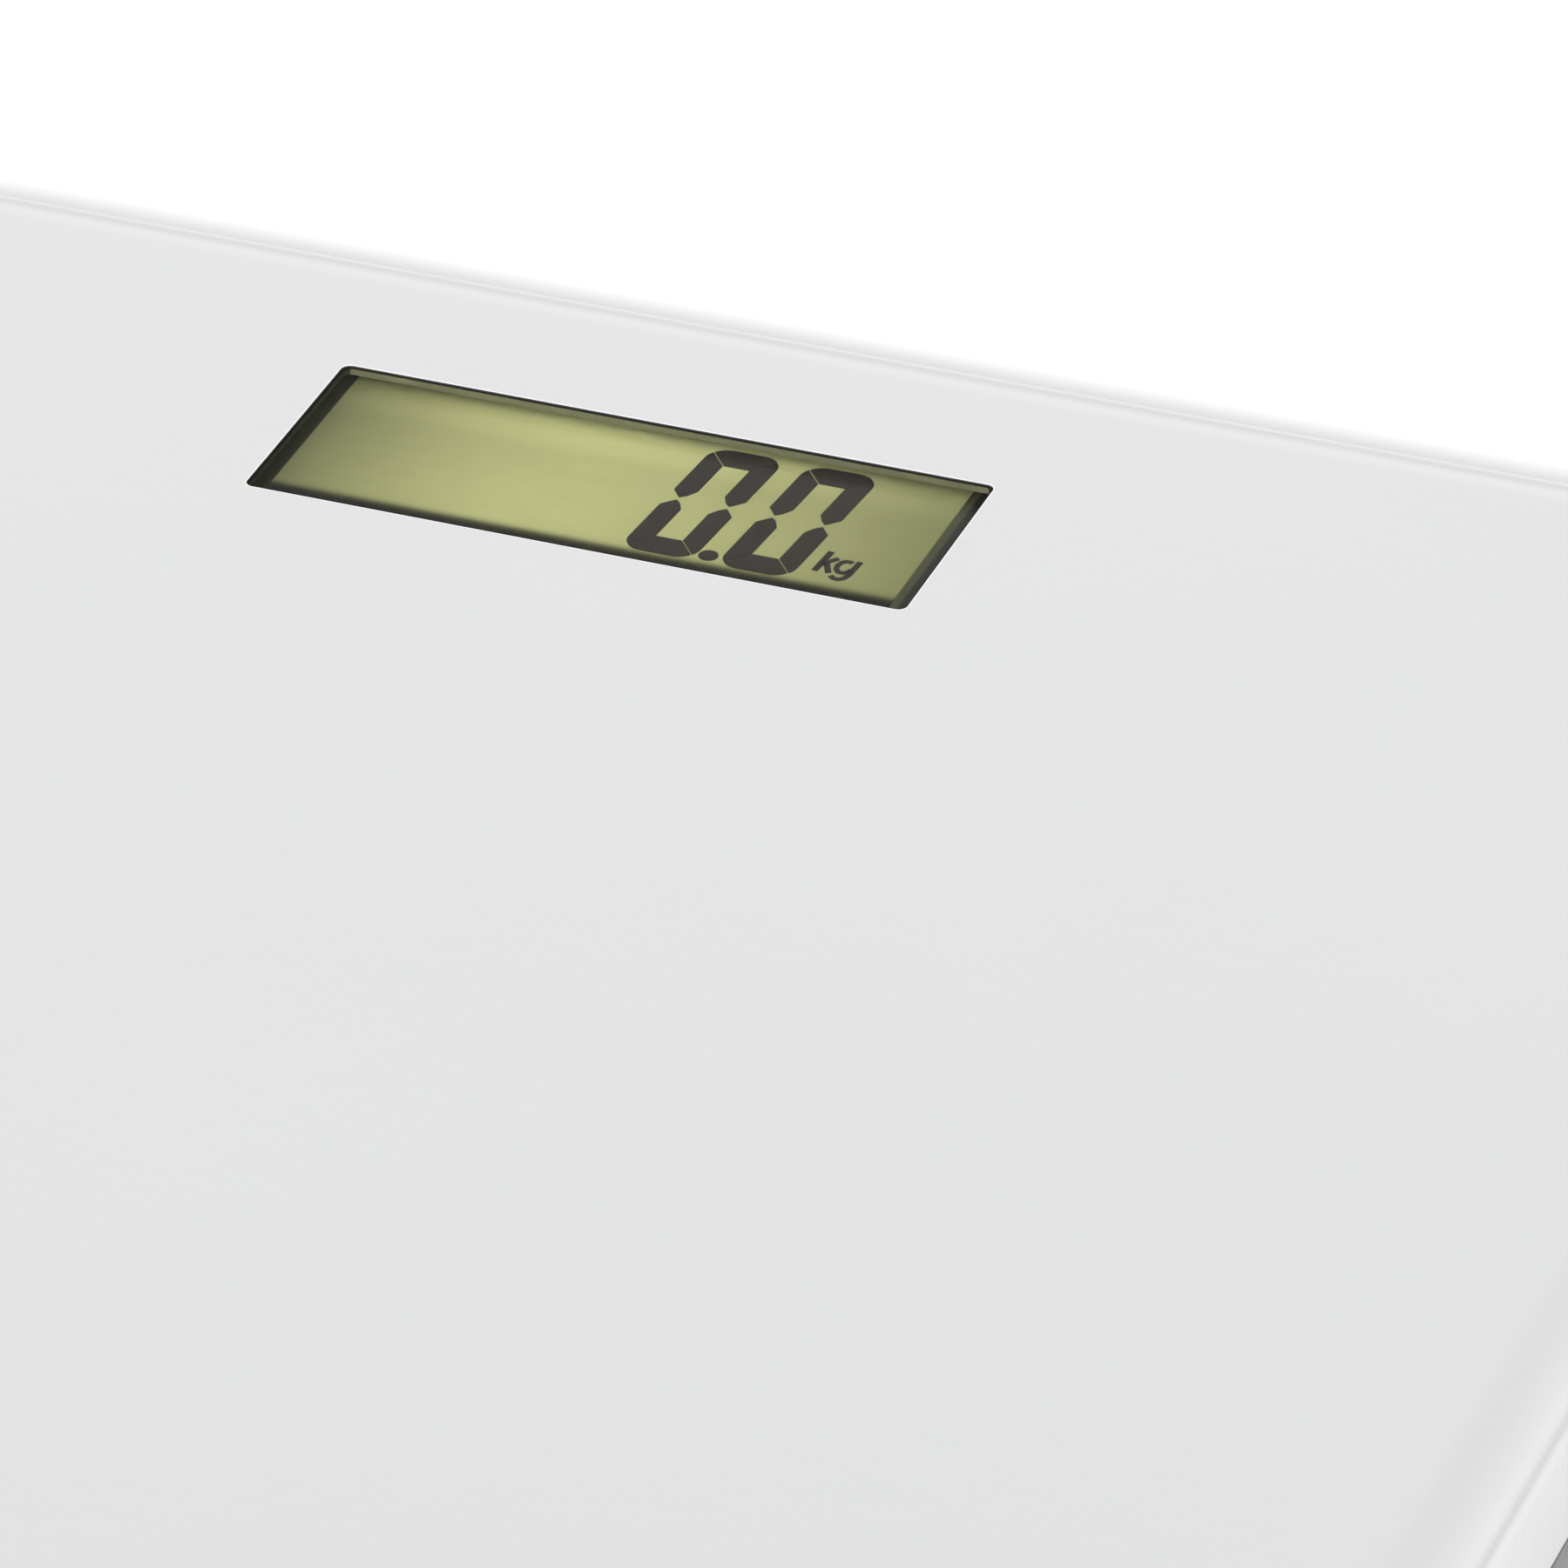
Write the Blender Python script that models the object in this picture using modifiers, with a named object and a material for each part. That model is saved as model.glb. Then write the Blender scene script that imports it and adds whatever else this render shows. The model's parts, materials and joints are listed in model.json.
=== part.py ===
"""Low electronic platform scale: a pressed steel cover on a ribbed frame, carried by four load-cell feet.

+Z is up, +Y points to the display edge, and the origin is on the floor below the platform's centre.
All dimensions below are in millimetres.
"""

import math

import bmesh
import bpy
from mathutils import Matrix

MM = 0.001

# Whole object
PLATFORM_HALF = 150.0
PLATFORM_CORNER = 22.0
HEIGHT = 28.0
CORNER_STEPS = 8
EDGE_STEPS = 6
WELL_SEGMENTS = 28
BOSS_SEGMENTS = 14
HOLE_SEGMENTS = 10
CLEARANCE = 0.3

# Pressed steel cover
SHEET = 0.8
ROLL_WIDTH = 9.0
ROLL_DROP = 5.0
SKIRT_BOTTOM = 11.5

# Display window and what is stacked under it
WINDOW_Y = 108.3
WINDOW_HALF_X = 38.0
WINDOW_HALF_Y = 14.2
WINDOW_CORNER = 1.4
LENS_TOP = 27.7
LENS_FLANGE_HALF_X = 42.0
LENS_FLANGE_HALF_Y = 18.0
LENS_FLANGE_TOP = 26.6
LENS_BOTTOM = 25.9
TAPE_BOTTOM = 26.7
TAPE_TOP = 27.1
LCD_HALF_X = 39.5
LCD_HALF_Y = 16.5
LCD_TOP = 25.5
LCD_BOTTOM = 22.9
HOLDER_HALF_X = 46.0
HOLDER_HALF_Y = 23.0
HOLDER_TOP = 25.6
HOLDER_FLOOR_TOP = 22.6
HOLDER_BOTTOM = 19.2
HOLDER_HOLLOW_TOP = 21.4
ZEBRA_OFFSET_Y = -14.0
ZEBRA_HALF_X = 36.0
ZEBRA_HALF_Y = 1.0
BOARD_HALF_X = 56.0
BOARD_HALF_Y = 22.0
BOARD_BOTTOM = 17.3
BOARD_TOP = 18.9
BOARD_SCREW_X = 51.0
BOARD_SCREW_HOLE = 1.4
BOARD_BOSS_RADIUS = 3.6
BOARD_SCREW_HOLE_TOP = 23.2
CHIP_Y = 110.0
CHIP_HOLLOW_HALF_X = 30.0
CHIP_HOLLOW_HALF_Y = 9.0

# Ribbed frame under the cover
FRAME_GAP = 1.1
FRAME_TOP = 26.9
FRAME_WALL = 2.2
FRAME_DECK_BOTTOM = FRAME_TOP - FRAME_WALL
FRAME_ROLL_WIDTH = 9.0
FRAME_ROLL_DROP = 7.0
FRAME_BOTTOM = 13.2
RIB_THICKNESS = 1.8
RIB_BOTTOM = 19.7
RIB_REACH = 143.0
RIBS_ALONG_X = (-80.0, -40.0, 0.0, 60.0)
RIBS_ALONG_Y = (-80.0, -40.0, 40.0, 80.0)
FRAME_WINDOW_HALF_X = 46.5
FRAME_WINDOW_HALF_Y = 23.5

# Base tray
BASE_HALF = 148.4
BASE_BOTTOM = 4.0
BASE_WALL = 2.2
BASE_FLOOR_TOP = BASE_BOTTOM + BASE_WALL
BASE_TOP = 12.9
BASE_ROLL_WIDTH = 5.0
BASE_ROLL_RISE = 4.0

# Corner stacks: pad, foot, holder and load cell
CORNER_AT = 112.0
PAD_RADIUS = 17.0
PAD_TOP = 2.3
FOOT_RADIUS = 19.5
FOOT_BOTTOM = 1.2
FOOT_TOP = 7.2
FOOT_STEM_RADIUS = 5.0
STAKE_RADIUS = 1.9
STAKE_HEAD_RADIUS = 3.0
WELL_RADIUS = 20.5
WELL_WALL = 1.8
WELL_TOP = 8.5
SEAT_HALF = 21.0
SEAT_BOTTOM = 8.9
SEAT_FLOOR_TOP = 10.5
SEAT_TOP = 12.9
SEAT_HOLE = 14.0
CELL_HALF = 17.0
CELL_BOTTOM = 10.8
CELL_TOP = 12.3
CELL_HOLE = 2.2
CELL_SLOT = 1.6
CELL_TONGUE_HALF = 9.2
TUBE_INNER_HALF = 18.5
LEAD_HEIGHT = 14.3
LEAD_RADIUS = 1.1

# Battery bay on the underside
BAY_Y = 30.0
BAY_HALF_X = 26.5
BAY_HALF_Y = 12.0
BAY_ROOF = 17.7
BAY_WALL = 1.8
BAY_SIDE_WALL = 3.5
LEAD_SLOT_HALF = 1.5
LEAD_SLOT_BOTTOM = 14.0
LEAD_SLOT_TOP = 17.0
DOOR_HALF_X = 28.0
DOOR_HALF_Y = 13.5
DOOR_THICKNESS = 1.9
BARREL_RADIUS = DOOR_THICKNESS / 2
HINGE_Y = BAY_Y - DOOR_HALF_Y + BARREL_RADIUS
HINGE_Z = BASE_BOTTOM + BARREL_RADIUS
PIN_RADIUS = 0.65
PIN_REACH = 1.2
LATCH_HALF_X = 5.0
SCOOP_RADIUS = 3.0
SCOOP_HALF_X = 9.0
AAA_RADIUS = 5.25
AAA_LENGTH = 43.6
AAA_PITCH = 11.2
AAA_Z = 11.95
CONTACT = 0.4
CONTACT_BOTTOM = 7.4
CONTACT_TOP = 16.8
CONTACT_HALF_Y = 4.4
CONTACT_LINK_HALF_Y = 10.0
BATTERY_LEAD_RADIUS = 0.7
BATTERY_LEAD_EXIT_Z = 15.5
BATTERY_LEAD_FLOOR_Z = 7.3

# Unit key
KEY_X = 20.0
KEY_Y = 98.0
KEY_RADIUS = 4.0
KEY_HOLE = 4.4
KEY_FLANGE = 5.5
KEY_COLLAR_WALL = 2.0
KEY_COLLAR_TOP = 8.4
PLUNGER_RADIUS = 1.7
SWITCH_HALF = 3.0
SWITCH_BOTTOM = 13.7
SWITCH_PLUNGER_BOTTOM = 12.9

# Screws
BASE_SCREWS = (
    (125.0, 35.0),
    (-125.0, 35.0),
    (125.0, -35.0),
    (-125.0, -35.0),
    (45.0, -125.0),
    (-45.0, -125.0),
    (64.0, 128.0),
    (-64.0, 128.0),
)
BOSS_RADIUS = 4.0
BOSS_BOTTOM = 9.3
POST_RADIUS = 5.0
POST_TOP = 9.0
RECESS_RADIUS = 3.6
RECESS_TOP = 7.2
SCREW_HOLE = 1.8
SCREW_HEAD = 3.1
SCREW_HEAD_BOTTOM = 5.0
SCREW_HEAD_TOP = 6.9
SCREW_SHANK = 1.4
SCREW_TIP = 17.0

for old in list(bpy.data.objects):
    bpy.data.objects.remove(old, do_unlink=True)

parts = bpy.data.collections.new("platform_scale")
cutters = bpy.data.collections.new("platform_scale_cutters")
cutters.hide_render = True
bpy.context.scene.collection.children.link(parts)
bpy.context.scene.collection.children.link(cutters)


def material(name, colour, metallic=0.0, roughness=0.5, transmission=0.0):
    made = bpy.data.materials.new(name)
    made.use_nodes = True
    shader = made.node_tree.nodes["Principled BSDF"]
    shader.inputs["Base Color"].default_value = (*colour, 1.0)
    shader.inputs["Metallic"].default_value = metallic
    shader.inputs["Roughness"].default_value = roughness
    shader.inputs["Transmission Weight"].default_value = transmission
    return made


STEEL = material("brushed_steel", (0.72, 0.72, 0.71), 1.0, 0.35)
CELL_STEEL = material("plated_steel", (0.62, 0.62, 0.60), 1.0, 0.3)
SCREW_STEEL = material("zinc_plated_screw", (0.60, 0.61, 0.62), 1.0, 0.35)
CONTACT_STEEL = material("nickel_contact", (0.70, 0.69, 0.66), 1.0, 0.25)
FRAME_PLASTIC = material("frame_plastic", (0.30, 0.31, 0.32), 0.0, 0.55)
BASE_PLASTIC = material("base_plastic", (0.09, 0.09, 0.10), 0.0, 0.55)
DOOR_PLASTIC = material("door_plastic", (0.09, 0.09, 0.10), 0.0, 0.5)
FOOT_PLASTIC = material("foot_plastic", (0.12, 0.12, 0.13), 0.0, 0.5)
SEAT_PLASTIC = material("seat_plastic", (0.55, 0.55, 0.53), 0.0, 0.5)
HOLDER_PLASTIC = material("display_holder_plastic", (0.03, 0.03, 0.03), 0.0, 0.5)
KEY_PLASTIC = material("key_plastic", (0.30, 0.30, 0.31), 0.0, 0.45)
PAD_RUBBER = material("pad_rubber", (0.04, 0.04, 0.04), 0.0, 0.85)
ZEBRA_RUBBER = material("zebra_rubber", (0.20, 0.20, 0.21), 0.0, 0.7)
LENS_CLEAR = material("clear_lens", (0.95, 0.96, 0.93), 0.0, 0.05, 0.9)
LCD_OLIVE = material("lcd_olive", (0.49, 0.51, 0.23), 0.0, 0.2)
TAPE_BLACK = material("black_tape", (0.02, 0.02, 0.02), 0.0, 0.8)
BOARD_GREEN = material("board_green", (0.03, 0.16, 0.07), 0.0, 0.45)
CHIP_BLACK = material("chip_epoxy", (0.01, 0.01, 0.01), 0.0, 0.25)
SWITCH_BLACK = material("switch_body", (0.05, 0.05, 0.05), 0.0, 0.4)
SILICONE = material("white_silicone", (0.80, 0.80, 0.77), 0.0, 0.6)
LEAD_GREY = material("lead_grey", (0.35, 0.35, 0.36), 0.0, 0.5)
LEAD_RED = material("lead_red", (0.45, 0.02, 0.02), 0.0, 0.45)
LEAD_BLACK = material("lead_black", (0.02, 0.02, 0.02), 0.0, 0.45)
BATTERY_WRAP = material("battery_wrap", (0.06, 0.12, 0.30), 0.0, 0.35)


def rounded_outline(half_x, half_y, radius, steps=CORNER_STEPS):
    """The points of a rounded rectangle, anticlockwise, centred on the origin."""
    points = []
    for quarter in range(4):
        turn = quarter * math.pi / 2
        side_x = half_x if quarter in (0, 3) else -half_x
        side_y = half_y if quarter in (0, 1) else -half_y
        centre_x = side_x - math.copysign(radius, side_x)
        centre_y = side_y - math.copysign(radius, side_y)
        for step in range(steps + 1):
            angle = turn + step / steps * math.pi / 2
            points.append((centre_x + radius * math.cos(angle), centre_y + radius * math.sin(angle)))
    return points


def add_box(mesh, low, high):
    """A box between two opposite corners."""
    size = [top - bottom for bottom, top in zip(low, high)]
    centre = [(top + bottom) / 2 for bottom, top in zip(low, high)]
    place = Matrix.Translation(centre) @ Matrix.Diagonal((*size, 1.0))
    bmesh.ops.create_cube(mesh, size=1.0, matrix=place)


def add_cylinder(mesh, radius, bottom, top, x=0.0, y=0.0, segments=32):
    """An upright cylinder between two heights."""
    bmesh.ops.create_cone(
        mesh,
        cap_ends=True,
        segments=segments,
        radius1=radius,
        radius2=radius,
        depth=top - bottom,
        matrix=Matrix.Translation((x, y, (top + bottom) / 2)),
    )


def add_bar(mesh, radius, start, end, y, z, segments=20):
    """A cylinder that lies along X."""
    place = Matrix.Translation(((start + end) / 2, y, z)) @ Matrix.Rotation(math.pi / 2, 4, "Y")
    bmesh.ops.create_cone(
        mesh,
        cap_ends=True,
        segments=segments,
        radius1=radius,
        radius2=radius,
        depth=end - start,
        matrix=place,
    )


def add_slab(mesh, outline, bottom, top, x=0.0, y=0.0):
    """An upright prism over a closed outline."""
    low = [mesh.verts.new((px + x, py + y, bottom)) for px, py in outline]
    face = mesh.faces.new(low)
    raised = bmesh.ops.extrude_face_region(mesh, geom=[face])["geom"]
    moved = [item for item in raised if isinstance(item, bmesh.types.BMVert)]
    bmesh.ops.translate(mesh, verts=moved, vec=(0, 0, top - bottom))


def finish(name, mesh, surface, smooth_below=None, collection=parts):
    """Turns a mesh in millimetres into a placed object, with smooth shading below an angle."""
    bmesh.ops.recalc_face_normals(mesh, faces=mesh.faces)
    bmesh.ops.scale(mesh, verts=mesh.verts, vec=(MM, MM, MM))
    data = bpy.data.meshes.new(name)
    mesh.to_mesh(data)
    mesh.free()
    if smooth_below is not None:
        data.polygons.foreach_set("use_smooth", [True] * len(data.polygons))
        data.set_sharp_from_angle(angle=math.radians(smooth_below))
    made = bpy.data.objects.new(name, data)
    collection.objects.link(made)
    if surface is not None:
        data.materials.append(surface)
    return made


def tool(name, mesh):
    """A hidden solid for a Boolean."""
    made = finish(name, mesh, None, collection=cutters)
    made.hide_render = True
    made.display_type = "WIRE"
    return made


def boolean(target, other, operation):
    modifier = target.modifiers.new(other.name, "BOOLEAN")
    modifier.operation = operation
    modifier.solver = "EXACT"
    modifier.object = other


def shell(name, half, corner, levels, wall, surface):
    """A pressed or moulded tray: a flat face, then rings down its rim, thickened inward."""
    mesh = bmesh.new()
    rings = []
    for inset, height in levels:
        outline = rounded_outline(half - inset, half - inset, corner - inset)
        rings.append([mesh.verts.new((x, y, height)) for x, y in outline])
    mesh.faces.new(rings[0])
    for upper, lower in zip(rings, rings[1:]):
        for index in range(len(upper)):
            after = (index + 1) % len(upper)
            mesh.faces.new((upper[index], lower[index], lower[after], upper[after]))
    made = finish(name, mesh, surface, smooth_below=35)
    flat = made.data.polygons[0]
    if (flat.normal.z > 0) != (levels[0][1] > levels[-1][1]):
        made.data.flip_normals()
    thicken = made.modifiers.new("wall", "SOLIDIFY")
    thicken.thickness = wall * MM
    thicken.offset = -1.0
    thicken.use_even_offset = True
    return made


def rolled_levels(flat_height, rim_height, width, drop):
    """Rings of an elliptic edge roll, from the flat face to the straight rim."""
    direction = math.copysign(1.0, rim_height - flat_height)
    levels = []
    for step in range(EDGE_STEPS + 1):
        angle = step / EDGE_STEPS * math.pi / 2
        inset = width * (1 - math.sin(angle))
        height = flat_height + direction * drop * (1 - math.cos(angle))
        levels.append((inset, height))
    levels.append((0.0, rim_height))
    return levels


def lathe(name, profile, surface, steps=28):
    """A round piece from a half profile of (radius, height) that runs down its outer side."""
    data = bpy.data.meshes.new(name)
    points = [(radius * MM, 0.0, height * MM) for radius, height in profile]
    edges = [(index, index + 1) for index in range(len(points) - 1)]
    data.from_pydata(points, edges, [])
    made = bpy.data.objects.new(name, data)
    parts.objects.link(made)
    data.materials.append(surface)
    screw = made.modifiers.new("turn", "SCREW")
    screw.steps = steps
    screw.render_steps = steps
    screw.use_merge_vertices = True
    screw.merge_threshold = 0.00001
    screw.use_smooth_shade = True
    screw.use_normal_calculate = False
    return made


def plate(name, outlines, bottom, top, surface, x=0.0, y=0.0):
    """A flat stamped piece; every outline after the first is a hole."""
    curve = bpy.data.curves.new(name, "CURVE")
    curve.dimensions = "2D"
    curve.fill_mode = "BOTH"
    curve.extrude = (top - bottom) / 2 * MM
    curve.materials.append(surface)
    for outline in outlines:
        spline = curve.splines.new("POLY")
        spline.points.add(len(outline) - 1)
        for point, (px, py) in zip(spline.points, outline):
            point.co = (px * MM, py * MM, 0.0, 1.0)
        spline.use_cyclic_u = True
    made = bpy.data.objects.new(name, curve)
    made.location = (x * MM, y * MM, (top + bottom) / 2 * MM)
    parts.objects.link(made)
    return made


def wire(name, points, radius, surface):
    """A lead that follows its whole route."""
    curve = bpy.data.curves.new(name, "CURVE")
    curve.dimensions = "3D"
    curve.bevel_depth = radius * MM
    curve.bevel_resolution = 2
    curve.use_fill_caps = True
    curve.materials.append(surface)
    spline = curve.splines.new("POLY")
    spline.points.add(len(points) - 1)
    for point, place in zip(spline.points, points):
        point.co = (*[value * MM for value in place], 1.0)
    made = bpy.data.objects.new(name, curve)
    parts.objects.link(made)
    return made


def circle_outline(radius, segments):
    turns = [step / segments * 2 * math.pi for step in range(segments)]
    return [(radius * math.cos(turn), radius * math.sin(turn)) for turn in turns]


# Each corner: its name, its sign along X and Y, and the turn that points its lead at the board.
CORNERS = (
    ("near_left", -1, -1, 0.0),
    ("near_right", 1, -1, 0.0),
    ("far_left", -1, 1, -math.pi / 2),
    ("far_right", 1, 1, math.pi / 2),
)

# Pressed steel cover, with the display window punched through it
cover = shell(
    "platform_cover",
    PLATFORM_HALF,
    PLATFORM_CORNER,
    rolled_levels(HEIGHT, SKIRT_BOTTOM, ROLL_WIDTH, ROLL_DROP),
    SHEET,
    STEEL,
)
window = bmesh.new()
window_outline = rounded_outline(WINDOW_HALF_X, WINDOW_HALF_Y, WINDOW_CORNER)
add_slab(window, window_outline, HEIGHT - 2, HEIGHT + 1, 0, WINDOW_Y)
boolean(cover, tool("window_punch", window), "DIFFERENCE")

# Ribbed frame that carries the thin cover and spreads the load to the corners
frame = shell(
    "platform_frame",
    PLATFORM_HALF - FRAME_GAP,
    PLATFORM_CORNER - FRAME_GAP,
    rolled_levels(FRAME_TOP, FRAME_BOTTOM, FRAME_ROLL_WIDTH, FRAME_ROLL_DROP),
    FRAME_WALL,
    FRAME_PLASTIC,
)
DECK_MIDDLE = FRAME_TOP - FRAME_WALL / 2

cross_ribs = bmesh.new()
for rib_y in RIBS_ALONG_X:
    low = (-RIB_REACH, rib_y - RIB_THICKNESS / 2, RIB_BOTTOM)
    high = (RIB_REACH, rib_y + RIB_THICKNESS / 2, DECK_MIDDLE)
    add_box(cross_ribs, low, high)
boolean(frame, tool("frame_cross_ribs", cross_ribs), "UNION")

long_ribs = bmesh.new()
for rib_x in RIBS_ALONG_Y:
    low = (rib_x - RIB_THICKNESS / 2, -RIB_REACH, RIB_BOTTOM)
    high = (rib_x + RIB_THICKNESS / 2, RIBS_ALONG_X[-1] + 8, DECK_MIDDLE)
    add_box(long_ribs, low, high)
boolean(frame, tool("frame_long_ribs", long_ribs), "UNION")

blocks = bmesh.new()
for _, sign_x, sign_y, _ in CORNERS:
    seat_outline = rounded_outline(SEAT_HALF, SEAT_HALF, 2.0, 3)
    centre = (sign_x * CORNER_AT, sign_y * CORNER_AT)
    add_slab(blocks, seat_outline, FRAME_BOTTOM, DECK_MIDDLE, *centre)
for boss_x, boss_y in BASE_SCREWS:
    add_cylinder(blocks, BOSS_RADIUS, BOSS_BOTTOM, DECK_MIDDLE, boss_x, boss_y, BOSS_SEGMENTS)
for sign in (-1, 1):
    boss_x = sign * BOARD_SCREW_X
    bottom = BOARD_TOP + CLEARANCE
    add_cylinder(blocks, BOARD_BOSS_RADIUS, bottom, DECK_MIDDLE, boss_x, WINDOW_Y, BOSS_SEGMENTS)
boolean(frame, tool("frame_bosses", blocks), "UNION")

hollows = bmesh.new()
for _, sign_x, sign_y, _ in CORNERS:
    tube_outline = rounded_outline(TUBE_INNER_HALF, TUBE_INNER_HALF, 2.0, 3)
    centre = (sign_x * CORNER_AT, sign_y * CORNER_AT)
    add_slab(hollows, tube_outline, FRAME_BOTTOM - 1, FRAME_DECK_BOTTOM, *centre)
for boss_x, boss_y in BASE_SCREWS:
    add_cylinder(hollows, SCREW_HOLE, BOSS_BOTTOM - 1, SCREW_TIP + 2, boss_x, boss_y, HOLE_SEGMENTS)
for sign in (-1, 1):
    boss_x = sign * BOARD_SCREW_X
    add_cylinder(
        hollows,
        BOARD_SCREW_HOLE,
        BOARD_TOP - 1,
        BOARD_SCREW_HOLE_TOP,
        boss_x,
        WINDOW_Y,
        HOLE_SEGMENTS,
    )
boolean(frame, tool("frame_hollows", hollows), "DIFFERENCE")

openings = bmesh.new()
for _, sign_x, sign_y, turn in CORNERS:
    notch = bmesh.new()
    add_box(notch, (-2.5, TUBE_INNER_HALF - 1, FRAME_BOTTOM - 1), (2.5, SEAT_HALF + 1, 16.4))
    place = Matrix.Translation((sign_x * CORNER_AT, sign_y * CORNER_AT, 0))
    bmesh.ops.transform(notch, matrix=place @ Matrix.Rotation(turn, 4, "Z"), verts=notch.verts)
    notch_data = bpy.data.meshes.new("notch")
    notch.to_mesh(notch_data)
    notch.free()
    openings.from_mesh(notch_data)
    bpy.data.meshes.remove(notch_data)
frame_window = rounded_outline(FRAME_WINDOW_HALF_X, FRAME_WINDOW_HALF_Y, 2.0, 3)
add_slab(openings, frame_window, FRAME_DECK_BOTTOM - 1, FRAME_TOP + 1, 0, WINDOW_Y)
boolean(frame, tool("frame_openings", openings), "DIFFERENCE")

# Base tray with foot wells, screw posts and the battery bay
base = shell(
    "base_cover",
    BASE_HALF,
    PLATFORM_CORNER - (PLATFORM_HALF - BASE_HALF),
    rolled_levels(BASE_BOTTOM, BASE_TOP, BASE_ROLL_WIDTH, BASE_ROLL_RISE),
    BASE_WALL,
    BASE_PLASTIC,
)
FLOOR_MIDDLE = BASE_BOTTOM + BASE_WALL / 2

raised = bmesh.new()
for _, sign_x, sign_y, _ in CORNERS:
    centre = (sign_x * CORNER_AT, sign_y * CORNER_AT)
    add_cylinder(raised, WELL_RADIUS + WELL_WALL, FLOOR_MIDDLE, WELL_TOP, *centre, WELL_SEGMENTS)
for post_x, post_y in BASE_SCREWS:
    add_cylinder(raised, POST_RADIUS, FLOOR_MIDDLE, POST_TOP, post_x, post_y, BOSS_SEGMENTS)
add_box(
    raised,
    (-BAY_HALF_X - BAY_SIDE_WALL, BAY_Y - BAY_HALF_Y - BAY_SIDE_WALL, FLOOR_MIDDLE),
    (BAY_HALF_X + BAY_SIDE_WALL, BAY_Y + BAY_HALF_Y + BAY_SIDE_WALL, BAY_ROOF + BAY_WALL - 0.3),
)
collar = KEY_FLANGE + KEY_COLLAR_WALL
add_cylinder(raised, collar, FLOOR_MIDDLE, KEY_COLLAR_TOP, KEY_X, KEY_Y, BOSS_SEGMENTS)
boolean(base, tool("base_raised", raised), "UNION")

sunk = bmesh.new()
for _, sign_x, sign_y, _ in CORNERS:
    centre = (sign_x * CORNER_AT, sign_y * CORNER_AT)
    add_cylinder(sunk, WELL_RADIUS, BASE_BOTTOM - 1, WELL_TOP + 1, *centre, WELL_SEGMENTS)
for post_x, post_y in BASE_SCREWS:
    add_cylinder(sunk, RECESS_RADIUS, BASE_BOTTOM - 1, RECESS_TOP, post_x, post_y, BOSS_SEGMENTS)
add_box(
    sunk,
    (-BAY_HALF_X, BAY_Y - BAY_HALF_Y, BASE_FLOOR_TOP - 0.5),
    (BAY_HALF_X, BAY_Y + BAY_HALF_Y, BAY_ROOF),
)
hollow = KEY_FLANGE + 0.5
add_cylinder(sunk, hollow, BASE_FLOOR_TOP, KEY_COLLAR_TOP + 1, KEY_X, KEY_Y, BOSS_SEGMENTS)
boolean(base, tool("base_sunk", sunk), "DIFFERENCE")

pierced = bmesh.new()
for post_x, post_y in BASE_SCREWS:
    add_cylinder(pierced, SCREW_HOLE, BASE_BOTTOM - 1, POST_TOP + 1, post_x, post_y, HOLE_SEGMENTS)
add_box(
    pierced,
    (-DOOR_HALF_X - CLEARANCE, BAY_Y - DOOR_HALF_Y - CLEARANCE, BASE_BOTTOM - 1),
    (DOOR_HALF_X + CLEARANCE, BAY_Y + DOOR_HALF_Y + CLEARANCE, BASE_FLOOR_TOP),
)
add_cylinder(pierced, KEY_HOLE, BASE_BOTTOM - 1, BASE_FLOOR_TOP + 1, KEY_X, KEY_Y, BOSS_SEGMENTS)
for side in (-1, 1):
    lead_y = BAY_Y + side * AAA_PITCH / 2
    low = (BAY_HALF_X - 1, lead_y - LEAD_SLOT_HALF, LEAD_SLOT_BOTTOM)
    high = (BAY_HALF_X + BAY_SIDE_WALL + 1.5, lead_y + LEAD_SLOT_HALF, LEAD_SLOT_TOP)
    add_box(pierced, low, high)
boolean(base, tool("base_pierced", pierced), "DIFFERENCE")

sockets = bmesh.new()
for side in (-1, 1):
    ends = sorted((side * (DOOR_HALF_X - 1), side * (DOOR_HALF_X + 1.5)))
    add_bar(sockets, PIN_RADIUS + 0.05, *ends, HINGE_Y, HINGE_Z)
boolean(base, tool("base_hinge_sockets", sockets), "DIFFERENCE")

# Clear lens: a raised pane in the window on a flange under the sheet
pane = bmesh.new()
pane_outline = rounded_outline(
    WINDOW_HALF_X - CLEARANCE, WINDOW_HALF_Y - CLEARANCE, WINDOW_CORNER - CLEARANCE
)
add_slab(pane, pane_outline, LENS_FLANGE_TOP - 0.3, LENS_TOP, 0, WINDOW_Y)
flange = bmesh.new()
flange_outline = rounded_outline(LENS_FLANGE_HALF_X, LENS_FLANGE_HALF_Y, 3.0)
add_slab(flange, flange_outline, LENS_BOTTOM, LENS_FLANGE_TOP, 0, WINDOW_Y)
lens = finish("display_lens", flange, LENS_CLEAR)
boolean(lens, tool("lens_pane", pane), "UNION")

# Adhesive ring between the lens flange and the sheet
plate(
    "lens_tape",
    [
        rounded_outline(LENS_FLANGE_HALF_X - 0.2, LENS_FLANGE_HALF_Y - 0.2, 2.8),
        rounded_outline(WINDOW_HALF_X + 0.5, WINDOW_HALF_Y + 0.5, 2.4),
    ],
    TAPE_BOTTOM,
    TAPE_TOP,
    TAPE_BLACK,
    0,
    WINDOW_Y,
)

# Reflective LCD, its holder and the conductive strip that joins it to the board
lcd = bmesh.new()
add_box(
    lcd,
    (-LCD_HALF_X, WINDOW_Y - LCD_HALF_Y, LCD_BOTTOM),
    (LCD_HALF_X, WINDOW_Y + LCD_HALF_Y, LCD_TOP),
)
finish("lcd_glass", lcd, LCD_OLIVE)

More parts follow.
